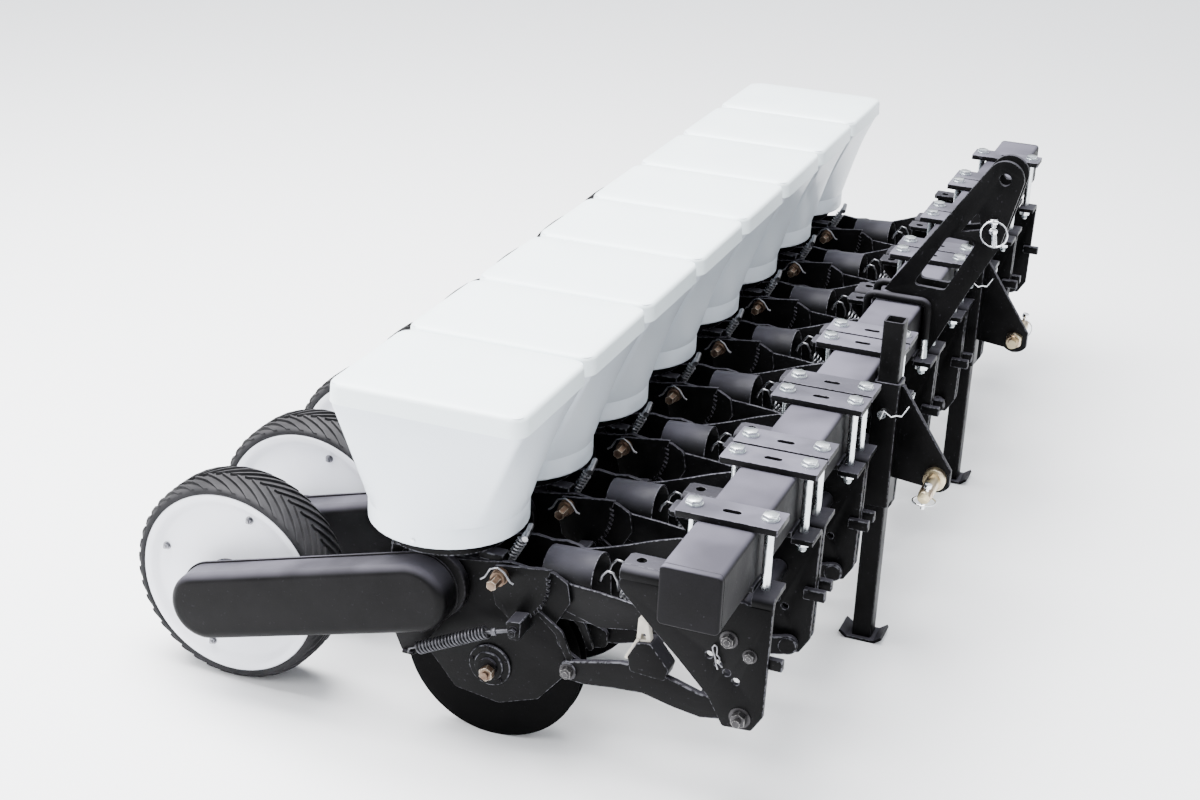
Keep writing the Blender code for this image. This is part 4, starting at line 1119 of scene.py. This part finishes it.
case = slab(case_outline(CASE_RADIUS), CASE_NEAR, CASE_FAR)
rim = [edge for edge in case.edges if all(abs(vert.co.y - CASE_NEAR) < 0.0001 for vert in edge.verts)]
bmesh.ops.bevel(case, geom=rim, offset=0.018, segments=8, profile=0.5, affect="EDGES", material=-1)
flange = soften(slab(case_outline(CASE_RADIUS + 0.0035), CASE_FAR - 0.006, CASE_FAR - 0.001), 0.001)
boss_x = ARM_PIVOT[0] + 0.008
boss = rod((boss_x, CASE_FAR - 0.004, ARM_PIVOT[1]), (boss_x, -0.0630, ARM_PIVOT[1]), 0.068, 48)
axle = rod((WHEEL_X, CASE_FAR - 0.002, WHEEL_Z), (WHEEL_X, -0.0460, WHEEL_Z), 0.0200, 28)
lug = slab(eased([(-0.622, -0.330), (-0.592, -0.398), (-0.566, -0.400), (-0.512, -0.320)], 0.008, 4),
           -0.100, -0.094)
lug_face = block((-0.590, -0.106, -0.399), (-0.568, -0.084, -0.394))
chain_case = gather(case, flange, soften(boss, 0.003, 3), axle, soften(lug, 0.001), soften(lug_face, 0.001))
per_row("chain_case", chain_case, CASE_PAINT, "wheel_arm", "wheel_arm", smooth=40)

for number, row_y in enumerate(ROW_Y, start=1):
    eye = [(-0.571, -0.100, -0.396), (-0.577, -0.108, -0.392), (-0.570, -0.115, -0.380),
           (-0.556, -0.117, -0.373)]
    spring = gather(
        coil((-0.552, -0.117, -0.374), (-0.420, -0.117, -0.309), 0.0105, 0.0021, 21, 14),
        wire(eye, 0.0022), rod((-0.424, -0.117, -0.311), (-0.374, -0.113, -0.296), 0.0042, 14),
        hexagon((-0.412, -0.117, -0.3075), (-0.404, -0.116, -0.305), 0.013))
    made = put(f"wheel_spring_{number}", spring, SPRING_STEEL, None, row_y, 60)
    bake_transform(made)
anchor = slab(eased([(-0.386, -0.280), (-0.358, -0.276), (-0.360, -0.312), (-0.380, -0.312)], 0.004, 3),
              -0.118, -0.060)
anchor = gather(soften(anchor, 0.001), bolt_end((-0.371, -0.118, -0.296), -1, 0.013, 0.010))
per_row("spring_anchor", anchor, BLACK_PAINT, "row")


# ---------------------------------------------------------------- drive wheels
# Each row runs on a drive wheel: two white pressed discs screwed together round a black hub, and a
# solid rubber tyre with chevron bars. It drives the seed meter and closes the furrow.

RIM_RADIUS = 0.180

WHITE_RIM = finish(
    "rim_paint", (0.86, 0.87, 0.93), (0.81, 0.82, 0.885), 0.28, 0.42, bump=0.03, coat=0.15,
    Dust=(0.5, 0.48, 0.47), Dust_Amount=0.06, Edge=(0.84, 0.85, 0.88), Edge_Amount=0.1,
    Speck_Amount=0.05, Scale=9.0, Grain=200.0)
# Its grey dust colour on upward faces is dust and a painted highlight.
TYRE = finish(
    "tyre_rubber", (0.022, 0.0213, 0.023), (0.012, 0.0117, 0.013), 0.55, 0.78, bump=0.18, specular=0.12,
    Dust=(0.085, 0.082, 0.086), Dust_Amount=0.35, Edge=(0.07, 0.068, 0.072), Edge_Amount=0.5,
    Speck_Amount=0.15, Scale=26.0, Grain=500.0)


def turned_profile(profile, closed=False):
    """A profile of (radius, y) spun about the wheel's axle."""
    shape = turned(spun([(radius, -y) for radius, y in profile], 96, closed), math.pi / 2, "X")
    return shifted(shape, WHEEL_X, 0, WHEEL_Z)


rim_profile = [
    (0, -0.040), (0.126, -0.0395), (0.150, -0.0400), (0.158, -0.0425), (0.164, -0.0500), (0.170, -0.0525),
    (0.178, -0.0530), (RIM_RADIUS, -0.0510), (RIM_RADIUS, -0.0440), (0.172, -0.040), (0.172, 0.040),
    (RIM_RADIUS, 0.0440), (RIM_RADIUS, 0.0510), (0.178, 0.0530), (0.170, 0.0525), (0.164, 0.0500),
    (0.158, 0.0425), (0.150, 0.0400), (0.126, 0.0395), (0, 0.040)]
per_row("wheel_rim", turned_profile(rim_profile), WHITE_RIM, "wheel", "wheel", smooth=40)

TREAD_LOW = 0.1970
crown = [
    (0.1785, -0.0490), (0.1810, -0.0525), (0.1850, -0.0535), (0.1885, -0.0525), (0.1930, -0.0480),
    (0.1955, -0.0380), (TREAD_LOW, -0.0200), (0.1975, 0.0), (TREAD_LOW, 0.0200), (0.1955, 0.0380),
    (0.1930, 0.0480), (0.1885, 0.0525), (0.1850, 0.0535), (0.1810, 0.0525), (0.1785, 0.0490),
    (0.174, 0.0460), (0.174, -0.0460)]


def tread_radius(across, height):
    """The tread's radius at a distance from the tyre's middle, for a point this high on a bar."""
    edge = max(0.0, abs(across) - 0.030) / 0.0225
    return 0.1972 - 0.0085 * edge * edge + height


def chevron_bar(side, turn):
    """One bar of the chevron tread, swept back from the middle to the shoulder."""
    shape = bmesh.new()
    bmesh.ops.create_cube(shape, size=1.0)
    along = [edge for edge in shape.edges if abs((edge.verts[0].co - edge.verts[1].co).y) > 0.5]
    bmesh.ops.subdivide_edges(shape, edges=along, cuts=4, use_grid_fill=True)
    for vert in shape.verts:
        share = vert.co.y + 0.5
        across = side * (0.0012 + share * 0.0508)
        width = 0.0088 * (1.0 + 0.15 * share)
        top = vert.co.z > 0
        height = (0.0055 if top else -0.0015) * (1.0 - 0.25 * share)
        sweep = share * 0.42 ** (1.1 - 0.1 * share)
        angle = turn + sweep + vert.co.x * (width * (0.78 if top else 1.0)) / 0.2
        radius = tread_radius(across, height)
        vert.co = (WHEEL_X + radius * math.sin(angle), across, WHEEL_Z + radius * math.cos(angle))
    bmesh.ops.recalc_face_normals(shape, faces=shape.faces[:])
    return shape


BARS = 40
tread = [turned_profile(crown, closed=True)]
for bar_number in range(BARS):
    for side in (-1, 1):
        tread.append(chevron_bar(side, math.tau * (bar_number + (0.5 if side > 0 else 0.0)) / BARS))
per_row("wheel_tyre", gather(*tread), TYRE, "wheel", smooth=45)


def hub_disc(side):
    """The black hub on the rim: a wide disc with a smaller one on it."""
    y = side * 0.0400
    wide_disc = rod((WHEEL_X, y, WHEEL_Z), (WHEEL_X, y + side * 0.0045, WHEEL_Z), 0.0475, 48)
    small_disc = rod((WHEEL_X, y, WHEEL_Z), (WHEEL_X, y + side * 0.0115, WHEEL_Z), 0.0230, 32)
    return gather(soften(wide_disc, 0.0015), soften(small_disc, 0.002))


def rim_screws(side):
    """Four screws with washers near the rim, and the hub's three bolts."""
    y = side * 0.0395
    parts = []
    for number in range(4):
        angle = math.radians(72 + 90 * number)
        x = WHEEL_X + 0.1435 * math.cos(angle)
        z = WHEEL_Z + 0.1435 * math.sin(angle)
        parts += [rod((x, y, z), (x, y + side * 0.0018, z), 0.0080, 20),
                  hexagon((x, y + side * 0.0018, z), (x, y + side * 0.0070, z), 0.0100),
                  rod((x, y, z), (x, y + side * 0.0110, z), 0.0030, 10)]
    for number in range(3):
        angle = math.radians(140 + 120 * number)
        x = WHEEL_X + 0.0380 * math.cos(angle)
        z = WHEEL_Z + 0.0380 * math.sin(angle)
        parts.append(rod((x, side * 0.0440, z), (x, side * 0.0462, z), 0.0034, 14))
    return gather(*parts)


per_row("wheel_hub", both_sides(hub_disc), BLACK_PAINT, "wheel")
per_row("wheel_screws", both_sides(rim_screws), WIRE_STEEL, "wheel")


# ---------------------------------------------------------------- studio
# A plain pale floor under a soft overhead light, with a weaker light from the camera's side.

floor_shape = bmesh.new()
bmesh.ops.create_grid(floor_shape, x_segments=1, y_segments=1, size=30)
floor_mesh = bpy.data.meshes.new("studio_floor")
floor_shape.to_mesh(floor_mesh)
floor_shape.free()
floor = bpy.data.objects.new("studio_floor", floor_mesh)
bpy.context.scene.collection.objects.link(floor)
FLOOR_FINISH = bpy.data.materials.new("studio_floor")
FLOOR_FINISH.use_nodes = True
floor_shader = FLOOR_FINISH.node_tree.nodes["Principled BSDF"]
floor_shader.inputs["Base Color"].default_value = (0.92, 0.92, 0.93, 1)
floor_shader.inputs["Roughness"].default_value = 0.9
floor_mesh.materials.append(FLOOR_FINISH)

sky = bpy.data.worlds.new("studio")
sky.use_nodes = True
sky_nodes = sky.node_tree.nodes
split = sky_nodes.new("ShaderNodeSeparateXYZ")
rise = sky_nodes.new("ShaderNodeMapRange")
rise.inputs["From Min"].default_value = 0.0
rise.inputs["From Max"].default_value = 0.9
rise.inputs["To Min"].default_value = 0.40
rise.inputs["To Max"].default_value = 2.6
sky.node_tree.links.new(sky_nodes.new("ShaderNodeTexCoord").outputs["Generated"], split.inputs[0])
sky.node_tree.links.new(split.outputs["Z"], rise.inputs["Value"])
sky.node_tree.links.new(rise.outputs["Result"], sky_nodes["Background"].inputs["Strength"])
sky_nodes["Background"].inputs["Color"].default_value = (0.93, 0.96, 1.0, 1)
bpy.context.scene.world = sky


def soft_light(name, place, target, size, power):
    """A large square light aimed at a point."""
    lamp = bpy.data.lights.new(name, "AREA")
    lamp.shape = "SQUARE"
    lamp.size = size
    lamp.energy = power
    holder = bpy.data.objects.new(name, lamp)
    holder.location = place
    holder.rotation_euler = (Vector(target) - Vector(place)).to_track_quat("-Z", "Y").to_euler()
    bpy.context.scene.collection.objects.link(holder)


soft_light("overhead_softbox", (-1.2, -0.6, 4.2), (0, 0, 0.4), 4.0, 950)
soft_light("side_softbox", (-2.8, -4.4, 2.6), (-0.3, -0.6, 0.4), 3.0, 160)

CAMERA_PLACE = Vector((ORIGIN.x + 0.783, -3.8675, ORIGIN.z + 1.388))
YAW = math.radians(-20.586)
PITCH = math.radians(23.024)
ROLL = math.radians(2.483)
ahead = Vector((math.sin(YAW) * math.cos(PITCH), math.cos(YAW) * math.cos(PITCH), -math.sin(PITCH)))
level = ahead.cross(Vector((0, 0, 1))).normalized()
upward = level.cross(ahead)
right = level * math.cos(ROLL) + upward * math.sin(ROLL)
up = upward * math.cos(ROLL) - level * math.sin(ROLL)
lens = bpy.data.cameras.new("studio_camera")
lens.lens = 58.83
lens.sensor_width = 36.0
camera = bpy.data.objects.new("studio_camera", lens)
camera.matrix_world = Matrix.Translation(CAMERA_PLACE) @ Matrix((right, up, -ahead)).transposed().to_4x4()
bpy.context.scene.collection.objects.link(camera)
bpy.context.scene.camera = camera
